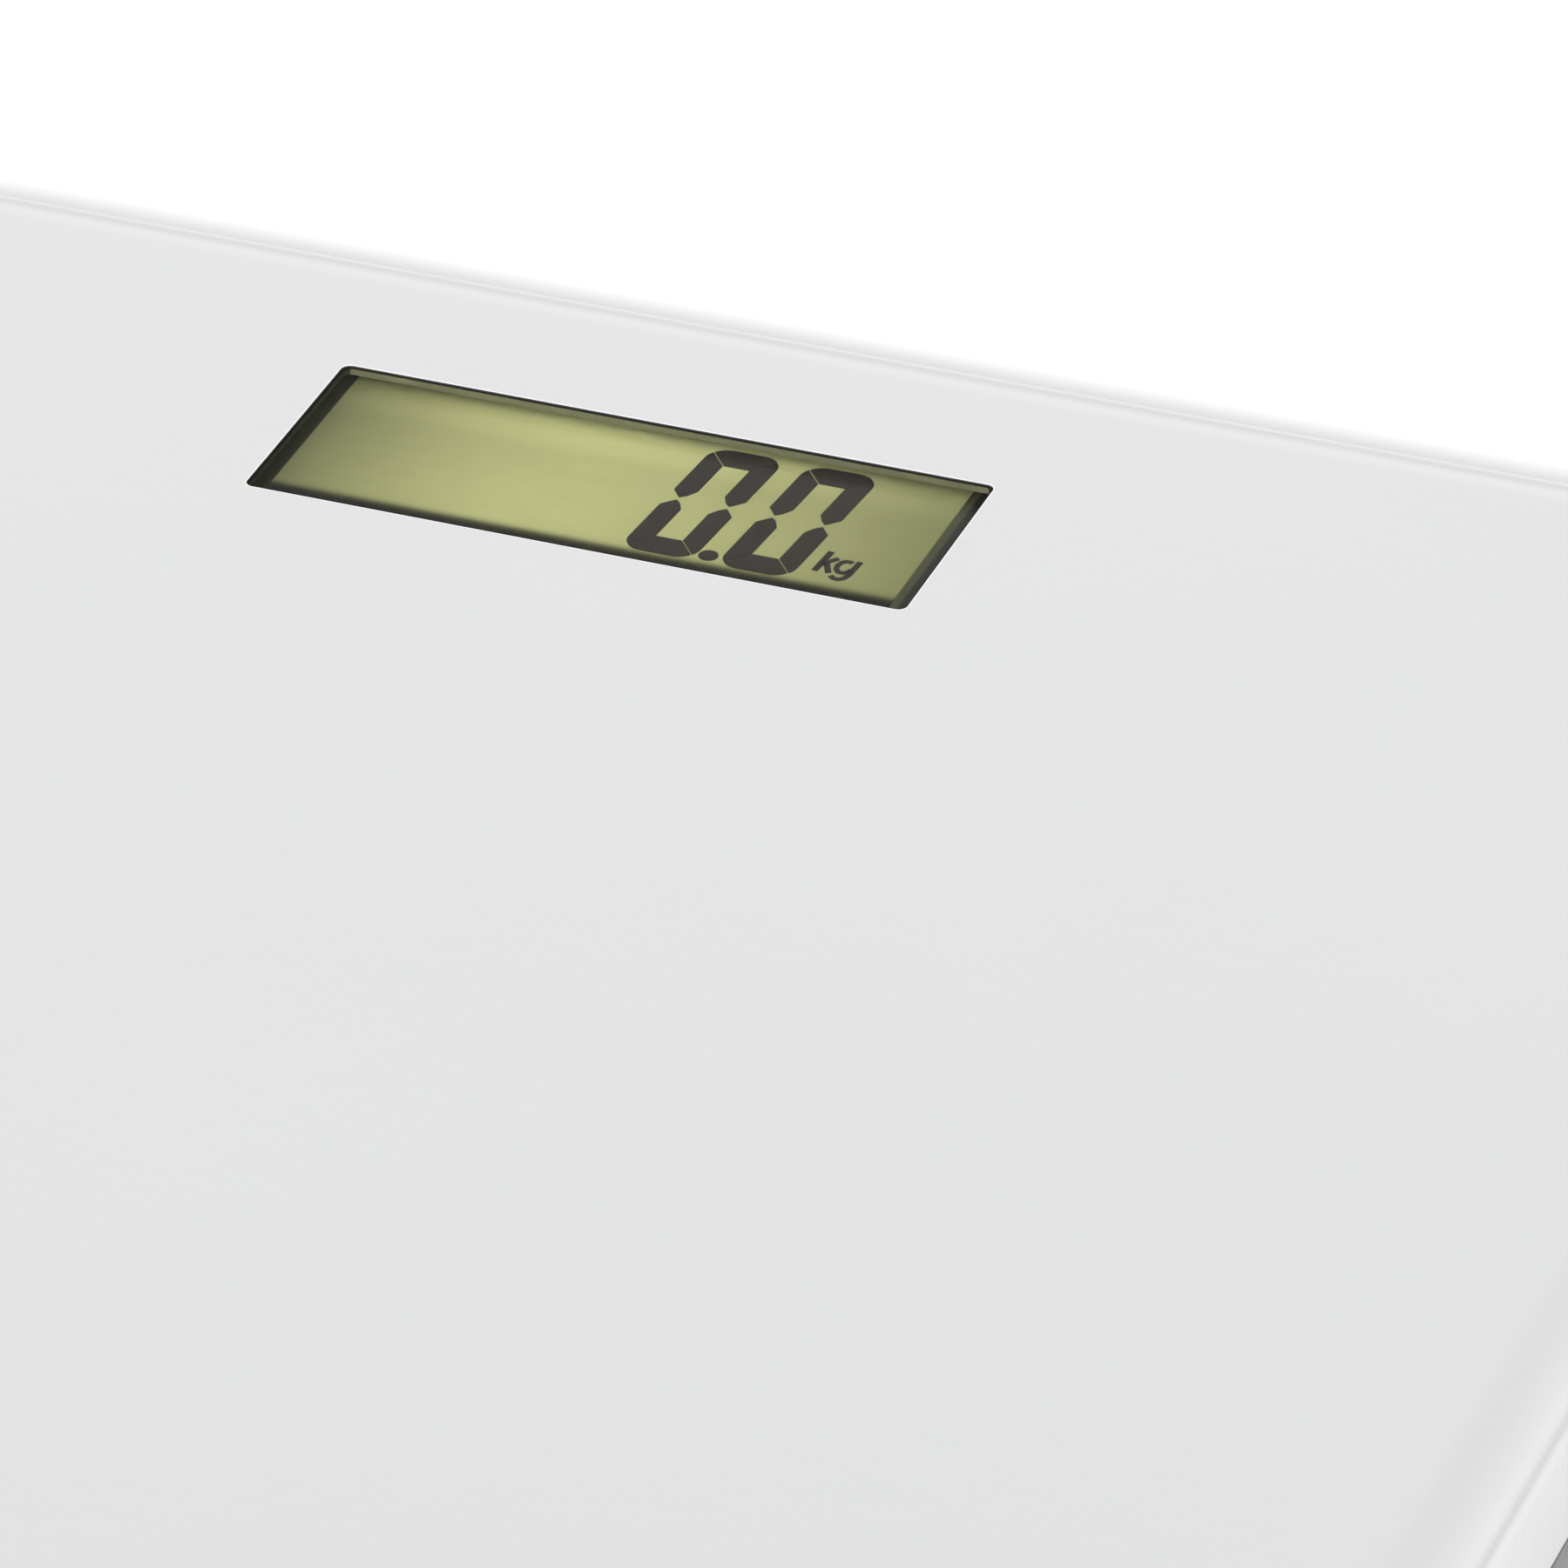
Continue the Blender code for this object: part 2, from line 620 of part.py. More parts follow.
carrier = bmesh.new()
add_slab(
    carrier,
    rounded_outline(HOLDER_HALF_X, HOLDER_HALF_Y, 1.5, 3),
    HOLDER_BOTTOM,
    HOLDER_TOP,
    0,
    WINDOW_Y,
)
holder = finish("lcd_holder", carrier, HOLDER_PLASTIC)
pocket = bmesh.new()
add_box(
    pocket,
    (-LCD_HALF_X - CLEARANCE, WINDOW_Y - LCD_HALF_Y - CLEARANCE, HOLDER_FLOOR_TOP),
    (LCD_HALF_X + CLEARANCE, WINDOW_Y + LCD_HALF_Y + CLEARANCE, HOLDER_TOP + 1),
)
boolean(holder, tool("lcd_pocket", pocket), "DIFFERENCE")
slots = bmesh.new()
zebra_y = WINDOW_Y + ZEBRA_OFFSET_Y
add_box(
    slots,
    (-ZEBRA_HALF_X - CLEARANCE, zebra_y - ZEBRA_HALF_Y - CLEARANCE, HOLDER_BOTTOM - 1),
    (ZEBRA_HALF_X + CLEARANCE, zebra_y + ZEBRA_HALF_Y + CLEARANCE, HOLDER_FLOOR_TOP + 0.1),
)
add_box(
    slots,
    (-CHIP_HOLLOW_HALF_X, CHIP_Y - CHIP_HOLLOW_HALF_Y, HOLDER_BOTTOM - 1),
    (CHIP_HOLLOW_HALF_X, CHIP_Y + CHIP_HOLLOW_HALF_Y, HOLDER_HOLLOW_TOP),
)
boolean(holder, tool("holder_slots", slots), "DIFFERENCE")

zebra = bmesh.new()
add_box(
    zebra,
    (-ZEBRA_HALF_X, zebra_y - ZEBRA_HALF_Y, BOARD_TOP + CLEARANCE),
    (ZEBRA_HALF_X, zebra_y + ZEBRA_HALF_Y, LCD_BOTTOM - CLEARANCE),
)
finish("zebra_strip", zebra, ZEBRA_RUBBER)

# Circuit board, its chip and its key switch
screw_holes = []
for sign in (-1, 1):
    ring = circle_outline(BOARD_SCREW_HOLE, 12)
    screw_holes.append([(x + sign * BOARD_SCREW_X, y) for x, y in ring])
plate(
    "main_board",
    [rounded_outline(BOARD_HALF_X, BOARD_HALF_Y, 2.0, 3), *screw_holes],
    BOARD_BOTTOM,
    BOARD_TOP,
    BOARD_GREEN,
    0,
    WINDOW_Y,
)
chip = lathe(
    "chip_coating",
    [(0, 20.4), (2.6, 20.2), (4.4, 19.6), (5.2, 19.0), (0, 19.0)],
    CHIP_BLACK,
    20,
)
chip.location = (0, CHIP_Y * MM, 0)

switch = bmesh.new()
add_box(
    switch,
    (KEY_X - SWITCH_HALF, KEY_Y - SWITCH_HALF, SWITCH_BOTTOM),
    (KEY_X + SWITCH_HALF, KEY_Y + SWITCH_HALF, BOARD_BOTTOM - 0.1),
)
unit_switch = finish("unit_switch", switch, SWITCH_BLACK)
plunger = bmesh.new()
add_cylinder(plunger, PLUNGER_RADIUS, SWITCH_PLUNGER_BOTTOM, SWITCH_BOTTOM + 0.5, KEY_X, KEY_Y, 16)
boolean(unit_switch, tool("switch_plunger", plunger), "UNION")

# Underside key that presses the switch
key = lathe(
    "unit_button",
    [
        (0, 12.0),
        (1.5, 12.0),
        (1.5, 7.5),
        (KEY_FLANGE, 7.5),
        (KEY_FLANGE, 6.5),
        (KEY_RADIUS, 6.5),
        (KEY_RADIUS, 4.0),
        (KEY_RADIUS - 0.4, 3.6),
        (0, 3.6),
    ],
    KEY_PLASTIC,
    18,
)
key.location = (KEY_X * MM, KEY_Y * MM, 0)

# Corner stacks: rubber pad, foot staked to the cell's tongue, seat, load cell and gauge coating
slot_half = CELL_TONGUE_HALF + CELL_SLOT
slot_outline = [
    (-slot_half, -slot_half),
    (slot_half, -slot_half),
    (slot_half, CELL_TONGUE_HALF),
    (CELL_TONGUE_HALF, CELL_TONGUE_HALF),
    (CELL_TONGUE_HALF, -CELL_TONGUE_HALF),
    (-CELL_TONGUE_HALF, -CELL_TONGUE_HALF),
    (-CELL_TONGUE_HALF, CELL_TONGUE_HALF),
    (-slot_half, CELL_TONGUE_HALF),
]
for name, sign_x, sign_y, turn in CORNERS:
    at_x = sign_x * CORNER_AT
    at_y = sign_y * CORNER_AT

    pad = lathe(
        "foot_pad_" + name,
        [(0, PAD_TOP), (PAD_RADIUS, PAD_TOP), (PAD_RADIUS, 0.8), (PAD_RADIUS - 0.8, 0), (0, 0)],
        PAD_RUBBER,
    )
    pad.location = (at_x * MM, at_y * MM, 0)

    foot = lathe(
        "foot_" + name,
        [
            (0, 13.4),
            (STAKE_HEAD_RADIUS, 13.4),
            (STAKE_HEAD_RADIUS, CELL_TOP + CLEARANCE),
            (STAKE_RADIUS, CELL_TOP + CLEARANCE),
            (STAKE_RADIUS, CELL_BOTTOM - CLEARANCE),
            (FOOT_STEM_RADIUS, CELL_BOTTOM - CLEARANCE),
            (FOOT_STEM_RADIUS, FOOT_TOP),
            (FOOT_RADIUS - 1, FOOT_TOP),
            (FOOT_RADIUS, FOOT_TOP - 1),
            (FOOT_RADIUS, FOOT_BOTTOM),
            (PAD_RADIUS + CLEARANCE, FOOT_BOTTOM),
            (PAD_RADIUS + CLEARANCE, PAD_TOP + CLEARANCE),
            (0, PAD_TOP + CLEARANCE),
        ],
        FOOT_PLASTIC,
    )
    foot.location = (at_x * MM, at_y * MM, 0)

    block = bmesh.new()
    add_slab(block, rounded_outline(SEAT_HALF, SEAT_HALF, 2.0, 3), SEAT_BOTTOM, SEAT_TOP, at_x, at_y)
    seat = finish("cell_holder_" + name, block, SEAT_PLASTIC)
    cell_pocket = bmesh.new()
    pocket_half = CELL_HALF + CLEARANCE
    low = (at_x - pocket_half, at_y - pocket_half, SEAT_FLOOR_TOP)
    high = (at_x + pocket_half, at_y + pocket_half, SEAT_TOP + 1)
    add_box(cell_pocket, low, high)
    boolean(seat, tool("cell_pocket_" + name, cell_pocket), "DIFFERENCE")
    seat_hole = bmesh.new()
    add_cylinder(seat_hole, SEAT_HOLE, SEAT_BOTTOM - 1, SEAT_FLOOR_TOP + 1, at_x, at_y, 24)
    boolean(seat, tool("seat_hole_" + name, seat_hole), "DIFFERENCE")

    cell = plate(
        "load_cell_" + name,
        [rounded_outline(CELL_HALF, CELL_HALF, 2.5, 3), slot_outline, circle_outline(CELL_HOLE, 16)],
        CELL_BOTTOM,
        CELL_TOP,
        CELL_STEEL,
        at_x,
        at_y,
    )
    cell.rotation_euler.z = turn

    coating = bmesh.new()
    add_slab(coating, rounded_outline(5.0, 2.6, 1.2, 3), CELL_TOP + 0.1, CELL_TOP + 0.9, 0, 11.2)
    gauge = finish("gauge_coating_" + name, coating, SILICONE)
    gauge.location = (at_x * MM, at_y * MM, 0)
    gauge.rotation_euler.z = turn

# Three-core leads from the cells: out through the notch, down to the tray floor, up to the board
FLOOR_RUN = BASE_FLOOR_TOP + CLEARANCE + LEAD_RADIUS
for name, sign in (("near_left", -1), ("near_right", 1)):
    wire(
        "cell_lead_" + name,
        [
            (sign * CORNER_AT, -CORNER_AT + 14.5, LEAD_HEIGHT),
            (sign * CORNER_AT, -CORNER_AT + 24, LEAD_HEIGHT),
            (sign * CORNER_AT, -CORNER_AT + 28, LEAD_HEIGHT - 2),
            (sign * CORNER_AT, -CORNER_AT + 31, FLOOR_RUN + 1),
            (sign * CORNER_AT, -CORNER_AT + 34, FLOOR_RUN),
            (sign * CORNER_AT, 40, FLOOR_RUN),
            (sign * 104, 56, FLOOR_RUN),
            (sign * 54, 88, FLOOR_RUN),
            (sign * 48, 92, FLOOR_RUN + 1),
            (sign * 46, 94, FLOOR_RUN + 4),
            (sign * 46, 95, BOARD_BOTTOM - 3),
            (sign * 46, 95, BOARD_BOTTOM - CLEARANCE),
        ],
        LEAD_RADIUS,
        LEAD_GREY,
    )
for name, sign in (("far_left", -1), ("far_right", 1)):
    wire(
        "cell_lead_" + name,
        [
            (sign * (CORNER_AT - 14.5), CORNER_AT, LEAD_HEIGHT),
            (sign * (CORNER_AT - 24), CORNER_AT, LEAD_HEIGHT),
            (sign * (CORNER_AT - 28), CORNER_AT, LEAD_HEIGHT - 2),
            (sign * (CORNER_AT - 31), CORNER_AT, FLOOR_RUN + 1),
            (sign * (CORNER_AT - 34), CORNER_AT, FLOOR_RUN),
            (sign * 58, 110, FLOOR_RUN),
            (sign * 53, 109, FLOOR_RUN + 1),
            (sign * 51, 108, FLOOR_RUN + 4),
            (sign * 48, 106, BOARD_BOTTOM - 4),
            (sign * 46, 105, BOARD_BOTTOM - 2.5),
            (sign * 46, 105, BOARD_BOTTOM - CLEARANCE),
        ],
        LEAD_RADIUS,
        LEAD_GREY,
    )

# Two cells laid side by side, pole to tail, with a leaf contact at each end
for name, side in (("battery_left_pole", -1), ("battery_right_pole", 1)):
    battery = lathe(
        name,
        [
            (0, AAA_LENGTH / 2),
            (1.9, AAA_LENGTH / 2),
            (1.9, AAA_LENGTH / 2 - 0.8),
            (AAA_RADIUS - 0.3, AAA_LENGTH / 2 - 0.8),
            (AAA_RADIUS, AAA_LENGTH / 2 - 1.1),
            (AAA_RADIUS, 0.3 - AAA_LENGTH / 2),
            (AAA_RADIUS - 0.3, -AAA_LENGTH / 2),
            (0, -AAA_LENGTH / 2),
        ],
        BATTERY_WRAP,
        20,
    )
    battery.rotation_euler.y = side * math.pi / 2
    battery.location = (0, (BAY_Y + side * AAA_PITCH / 2) * MM, AAA_Z * MM)


def leaf(name, end, low_y, high_y, bumps):
    """A folded strip along the bay's end wall with a sprung bump for each cell it meets."""
    back = bmesh.new()
    outer = BAY_HALF_X - CLEARANCE
    inner = outer - CONTACT
    ends = sorted((end * outer, end * inner))
    add_box(back, (ends[0], low_y, CONTACT_BOTTOM), (ends[1], high_y, CONTACT_TOP))
    made = finish(name, back, CONTACT_STEEL)
    swell = bmesh.new()
    for bump_y in bumps:
        reach = sorted((end * (inner + 0.2), end * (AAA_LENGTH / 2 + CLEARANCE)))
        place = Matrix.Translation((sum(reach) / 2, bump_y, AAA_Z))
        place = place @ Matrix.Rotation(end * math.pi / 2, 4, "Y")
        bmesh.ops.create_cone(
            swell,
            cap_ends=True,
            segments=16,
            radius1=1.2,
            radius2=3.2,
            depth=reach[1] - reach[0],
            matrix=place @ Matrix.Rotation(math.pi, 4, "X"),
        )
    boolean(made, tool(name + "_bumps", swell), "UNION")


lower_cell = BAY_Y - AAA_PITCH / 2
upper_cell = BAY_Y + AAA_PITCH / 2
link_ends = (BAY_Y - CONTACT_LINK_HALF_Y, BAY_Y + CONTACT_LINK_HALF_Y)
leaf("contact_link", -1, *link_ends, (lower_cell, upper_cell))
for name, cell_y in (("contact_minus", lower_cell), ("contact_plus", upper_cell)):
    leaf(name, 1, cell_y - CONTACT_HALF_Y, cell_y + CONTACT_HALF_Y, (cell_y,))

lead_routes = (
    ("battery_lead_minus", LEAD_BLACK, lower_cell, 42, 40),
    ("battery_lead_plus", LEAD_RED, upper_cell, 36, 34),
)
for name, surface, start_y, run_x, end_x in lead_routes:
    wire(
        name,
        [
            (BAY_HALF_X + 0.4, start_y, BATTERY_LEAD_EXIT_Z),
            (run_x - 3, start_y, BATTERY_LEAD_EXIT_Z),
            (run_x - 0.8, start_y + 0.8, BATTERY_LEAD_EXIT_Z - 1.5),
            (run_x, start_y + 2, BATTERY_LEAD_FLOOR_Z + 1.1),
            (run_x, start_y + 4, BATTERY_LEAD_FLOOR_Z),
            (run_x, 82, BATTERY_LEAD_FLOOR_Z),
            (end_x + 1, 88, BATTERY_LEAD_FLOOR_Z + 1.1),
            (end_x, 91, BOARD_BOTTOM - 3),
            (end_x, 91, BOARD_BOTTOM - CLEARANCE),
        ],
        BATTERY_LEAD_RADIUS,
        surface,
    )

# Battery door: a plate whose rolled hinge edge carries two stub pins, with a latch tongue
panel = bmesh.new()
add_box(
    panel,
    (-DOOR_HALF_X, HINGE_Y, BASE_BOTTOM),
    (DOOR_HALF_X, BAY_Y + DOOR_HALF_Y, BASE_BOTTOM + DOOR_THICKNESS),
)
bmesh.ops.translate(panel, verts=panel.verts, vec=(0, -HINGE_Y, -HINGE_Z))
door = finish("battery_door", panel, DOOR_PLASTIC)
door.location = (0, HINGE_Y * MM, HINGE_Z * MM)
barrel = bmesh.new()
add_bar(barrel, BARREL_RADIUS, -DOOR_HALF_X, DOOR_HALF_X, HINGE_Y, HINGE_Z, 20)
boolean(door, tool("door_barrel", barrel), "UNION")
pins = bmesh.new()
pin_end = DOOR_HALF_X + PIN_REACH
add_bar(pins, PIN_RADIUS, -pin_end, pin_end, HINGE_Y, HINGE_Z, 16)
boolean(door, tool("door_pins", pins), "UNION")
tongue = bmesh.new()
tongue_y = BAY_Y + BAY_HALF_Y
add_box(tongue, (-LATCH_HALF_X, tongue_y - 1.6, 5.4), (LATCH_HALF_X, tongue_y - 0.4, 8.6))
boolean(door, tool("door_latch", tongue), "UNION")
scoop = bmesh.new()
scoop_y = BAY_Y + DOOR_HALF_Y - 3.2
add_bar(scoop, SCOOP_RADIUS, -SCOOP_HALF_X, SCOOP_HALF_X, scoop_y, BASE_BOTTOM - 1.9)
boolean(door, tool("door_finger_scoop", scoop), "DIFFERENCE")

# Screws: eight through the tray posts, two through the board
for index, (screw_x, screw_y) in enumerate(BASE_SCREWS, start=1):
    screw = lathe(
        "base_screw_%d" % index,
        [
            (0, SCREW_TIP),
            (SCREW_SHANK - 0.7, SCREW_TIP),
            (SCREW_SHANK, SCREW_TIP - 1.4),
            (SCREW_SHANK, SCREW_HEAD_TOP),
            (SCREW_HEAD, SCREW_HEAD_TOP),
            (SCREW_HEAD, SCREW_HEAD_BOTTOM + 0.7),
            (SCREW_HEAD - 0.9, SCREW_HEAD_BOTTOM),
            (0, SCREW_HEAD_BOTTOM),
        ],
        SCREW_STEEL,
        10,
    )
    screw.location = (screw_x * MM, screw_y * MM, 0)
for name, sign in (("left", -1), ("right", 1)):
    screw = lathe(
        "board_screw_" + name,
        [
            (0, 22.6),
            (0.5, 22.6),
            (1.05, 21.6),
            (1.05, BOARD_BOTTOM - CLEARANCE),
            (2.4, BOARD_BOTTOM - CLEARANCE),
            (2.4, 16.0),
            (1.7, 15.4),
            (0, 15.4),
        ],
        SCREW_STEEL,
        10,
    )
    screw.location = (sign * BOARD_SCREW_X * MM, WINDOW_Y * MM, 0)
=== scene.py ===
import json
import math

import bmesh
import bpy
from mathutils import Matrix, Vector


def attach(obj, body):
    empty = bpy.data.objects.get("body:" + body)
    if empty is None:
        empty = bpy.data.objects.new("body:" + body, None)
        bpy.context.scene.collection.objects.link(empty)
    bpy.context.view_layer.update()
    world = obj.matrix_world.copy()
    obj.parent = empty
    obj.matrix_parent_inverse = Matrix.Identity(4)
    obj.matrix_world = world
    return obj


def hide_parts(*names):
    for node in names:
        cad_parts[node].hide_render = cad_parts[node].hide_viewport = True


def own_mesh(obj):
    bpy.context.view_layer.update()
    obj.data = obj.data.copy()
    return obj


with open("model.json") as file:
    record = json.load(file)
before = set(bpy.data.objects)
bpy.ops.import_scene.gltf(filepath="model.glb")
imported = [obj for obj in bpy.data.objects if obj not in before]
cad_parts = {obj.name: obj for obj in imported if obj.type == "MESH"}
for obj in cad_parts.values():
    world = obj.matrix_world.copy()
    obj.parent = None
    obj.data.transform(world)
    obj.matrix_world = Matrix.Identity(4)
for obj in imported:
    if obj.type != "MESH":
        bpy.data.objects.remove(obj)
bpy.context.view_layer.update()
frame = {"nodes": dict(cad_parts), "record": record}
MM = 0.001


# ---------------------------------------------------------------------------
# Platform cover. One stainless sheet, 0.8 mm thick, brushed along its width, then
# pressed so that its rim rolls down into a short skirt. The display window is punched
# through it, which leaves a thin bright burnished lip round the opening.
# ---------------------------------------------------------------------------
def rounded_loop(half_x, half_y, radius, steps, centre_y=0.0):
    """Points round a rounded rectangle, anticlockwise from its right side, in millimetres."""
    points = []
    for quarter, (sign_x, sign_y) in enumerate(((1, 1), (-1, 1), (-1, -1), (1, -1))):
        for step in range(steps + 1):
            angle = (quarter + step / steps) * math.pi / 2
            x = sign_x * (half_x - radius) + radius * math.cos(angle)
            y = sign_y * (half_y - radius) + radius * math.sin(angle)
            points.append((x, y + centre_y))
    return points


def link(piece):
    bpy.context.scene.collection.objects.link(piece)
    return piece


def sweep_rings(name, rings, closed=False, smooth_below=30):
    """A mesh through a list of (outline, height) rings; closed joins the last ring to the first."""
    mesh = bmesh.new()
    loops = []
    for outline, height in rings:
        loops.append([mesh.verts.new((x * MM, y * MM, height * MM)) for x, y in outline])
    pairs = list(zip(loops, loops[1:]))
    if closed:
        pairs.append((loops[-1], loops[0]))
    else:
        mesh.faces.new(loops[0])
        mesh.faces.new(loops[-1][::-1])
    for first, second in pairs:
        for index in range(len(first)):
            after = (index + 1) % len(first)
            mesh.faces.new((first[index], first[after], second[after], second[index]))
    bmesh.ops.recalc_face_normals(mesh, faces=mesh.faces)
    data = bpy.data.meshes.new(name)
    mesh.to_mesh(data)
    mesh.free()
    data.polygons.foreach_set("use_smooth", [True] * len(data.polygons))
    data.set_sharp_from_angle(angle=math.radians(smooth_below))
    return link(bpy.data.objects.new(name, data))


def surface(
    name,
    colour,
    metallic=0.0,
    roughness=0.5,
    grain=(400.0, 400.0, 400.0),
    tint=0.05,
    rough_span=0.06,
    bump=0.1,
    bump_depth=0.00005,
    blotch=25.0,
    unrolled=None,
    specular=0.5,
):
    """A material with fine grain in colour, roughness and relief, and slower blotches over it."""
    made = bpy.data.materials.new(name)
    made.use_nodes = True
    nodes, links = made.node_tree.nodes, made.node_tree.links
    shader = nodes["Principled BSDF"]
    shader.inputs["Metallic"].default_value = metallic
    shader.inputs["Specular IOR Level"].default_value = specular
    if unrolled:
        place = nodes.new("ShaderNodeAttribute")
        place.attribute_name = unrolled
        where = place.outputs["Vector"]
    else:
        where = nodes.new("ShaderNodeTexCoord").outputs["Object"]
    stretch = nodes.new("ShaderNodeMapping")
    stretch.inputs["Scale"].default_value = grain
    links.new(where, stretch.inputs["Vector"])
    fine = nodes.new("ShaderNodeTexNoise")
    fine.inputs["Scale"].default_value = 1.0
    fine.inputs["Detail"].default_value = 5.0
    links.new(stretch.outputs["Vector"], fine.inputs["Vector"])
    slow = nodes.new("ShaderNodeTexNoise")
    slow.inputs["Scale"].default_value = blotch
    slow.inputs["Detail"].default_value = 3.0
    links.new(where, slow.inputs["Vector"])
    both = nodes.new("ShaderNodeMath")
    both.operation = "MULTIPLY_ADD"
    both.inputs[1].default_value = 0.4
    links.new(slow.outputs["Fac"], both.inputs[0])
    links.new(fine.outputs["Fac"], both.inputs[2])
    tone = nodes.new("ShaderNodeValToRGB")
    tone.name = "tone"
    tone.color_ramp.elements[0].position = 0.45
    tone.color_ramp.elements[1].position = 0.95
    tone.color_ramp.elements[0].color = (*[c * (1 - tint) for c in colour], 1)
    tone.color_ramp.elements[1].color = (*[min(1, c * (1 + tint)) for c in colour], 1)
    links.new(both.outputs[0], tone.inputs["Fac"])
    links.new(tone.outputs["Color"], shader.inputs["Base Color"])
    spread = nodes.new("ShaderNodeMapRange")
    spread.inputs["From Min"].default_value = 0.3
    spread.inputs["From Max"].default_value = 0.7
    spread.inputs["To Min"].default_value = roughness - rough_span
    spread.inputs["To Max"].default_value = roughness + rough_span
    links.new(fine.outputs["Fac"], spread.inputs["Value"])
    links.new(spread.outputs["Result"], shader.inputs["Roughness"])
    relief = nodes.new("ShaderNodeBump")
    relief.inputs["Strength"].default_value = bump
    relief.inputs["Distance"].default_value = bump_depth
    links.new(fine.outputs["Fac"], relief.inputs["Height"])
    links.new(relief.outputs["Normal"], shader.inputs["Normal"])
    return made


WINDOW_Y = 108.3
WINDOW_HALF_X = 38.12
WINDOW_HALF_Y = 14.32
WINDOW_CORNER = 1.05
PLATFORM_HALF = 150.0
PLATFORM_CORNER = 22.0
SHEET = 0.8
SHEET_TOP = 28.0
ROLL_WIDTH = 9.0
ROLL_DROP = 5.0
SKIRT_BOTTOM = 11.5
SKIRT_EDGE = ((0.0, 0.3), (0.06, 0.06), (0.3, 0.0))
LIP = 0.15
LIP_DROP = 0.012
FLAT_MARGIN = 2.0
CORNER_STEPS = 20
ROLL_STEPS = 18


def roll_point(turn):
    """(inset, height) on the outside of the rolled rim, and the outward slope there."""
    inset = ROLL_WIDTH * (1 - math.sin(turn))
    height = SHEET_TOP - ROLL_DROP * (1 - math.cos(turn))
    slope = Vector((math.sin(turn) / ROLL_WIDTH, math.cos(turn) / ROLL_DROP)).normalized()
    return inset, height, slope


outer_rim, inner_rim = [], []
run = 0.0
before = (ROLL_WIDTH + FLAT_MARGIN, SHEET_TOP)
outer_rim.append((before, 0.0, 0.0))
inner_rim.append(((before[0], SHEET_TOP - SHEET), 0.0, 0.0))
for step in range(ROLL_STEPS + 1):
    inset, height, slope = roll_point(step / ROLL_STEPS * math.pi / 2)
    run += math.dist(before, (inset, height))
    before = (inset, height)
    outer_rim.append((before, run, step / ROLL_STEPS))
    inner_rim.append(((inset + SHEET * slope.x, height - SHEET * slope.y), run, 1.0))
for inset, rise in SKIRT_EDGE:
    height = SKIRT_BOTTOM + rise
    run += math.dist(before, (inset, height))
    before = (inset, height)
    outer_rim.append((before, run, 1.0))
    inner_rim.append(((SHEET - inset, height), run, 1.0))

rings, unrolled = [], []


def add_ring(outline, height, flat_outline=None, bend=0.0):
    """Adds a ring of the cover, and its place on the flat blank for the brushing."""
    rings.append((outline, height))
    for x, y in flat_outline or outline:
        unrolled.extend((x * MM, y * MM, bend))


def window_outline(grow, steps=CORNER_STEPS):
    """The window's outline, grown outwards by some millimetres."""
    return rounded_loop(
        WINDOW_HALF_X + grow, WINDOW_HALF_Y + grow, WINDOW_CORNER + grow, steps, WINDOW_Y
    )


def window_ring(grow, height):
    add_ring(window_outline(grow), height)


def rim_ring(point, run, bend):
    """A ring of the rim, with the outline it had on the flat blank, so that the brushing runs over it."""
    inset, height = point
    grow = run - ROLL_WIDTH - FLAT_MARGIN
    half, flat_half = PLATFORM_HALF - inset, PLATFORM_HALF + grow
    add_ring(
        rounded_loop(half, half, PLATFORM_CORNER - inset, CORNER_STEPS),
        height,
        rounded_loop(flat_half, flat_half, PLATFORM_CORNER + grow, CORNER_STEPS),
        bend,
    )


window_ring(0.0, SHEET_TOP - SHEET + 0.1)
window_ring(0.0, SHEET_TOP - 0.06)
window_ring(0.02, SHEET_TOP - LIP_DROP)
window_ring(LIP, SHEET_TOP)
window_ring(LIP + 0.05, SHEET_TOP)
for point, run, bend in outer_rim:
    rim_ring(point, run, bend)
for point, run, bend in reversed(inner_rim):
    rim_ring(point, run, bend)
window_ring(0.6, SHEET_TOP - SHEET)
window_ring(0.1, SHEET_TOP - SHEET)
cover = sweep_rings("cover_sheet", rings, closed=True, smooth_below=11)
cover.data.attributes.new("unrolled", "FLOAT_VECTOR", "POINT").data.foreach_set("vector", unrolled)
brushed = surface(
    "brushed_sheet",
    (0.735, 0.74, 0.742),
    metallic=1.0,
    roughness=0.28,
    grain=(90.0, 5200.0, 1.0),
    tint=0.02,
    rough_span=0.015,
    bump=0.045,
    bump_depth=0.00002,
    blotch=9.0,
    unrolled="unrolled",
)
burnished = surface("burnished_lip", (0.95, 0.95, 0.95), metallic=1.0, roughness=0.2, tint=0.02, bump=0.0)
cut_edge = surface("cut_edge", (0.05, 0.05, 0.05), roughness=0.6, tint=0.1)
for material in (brushed, burnished, cut_edge):
    cover.data.materials.append(material)
per_ring = 4 * (CORNER_STEPS + 1)
# The faces that start at rings 1 and 2 are the bright lip; the punched wall below is dark.
lip_slots = {2: 1, 1: 1, 0: 2, len(rings) - 1: 2}
for face in cover.data.polygons:
    ring_numbers = sorted({vertex // per_ring for vertex in face.vertices})
    if ring_numbers[1] < 4:
        face.material_index = lip_slots.get(ring_numbers[0], 0)
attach(cover, "scale_body")
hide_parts("platform_cover")


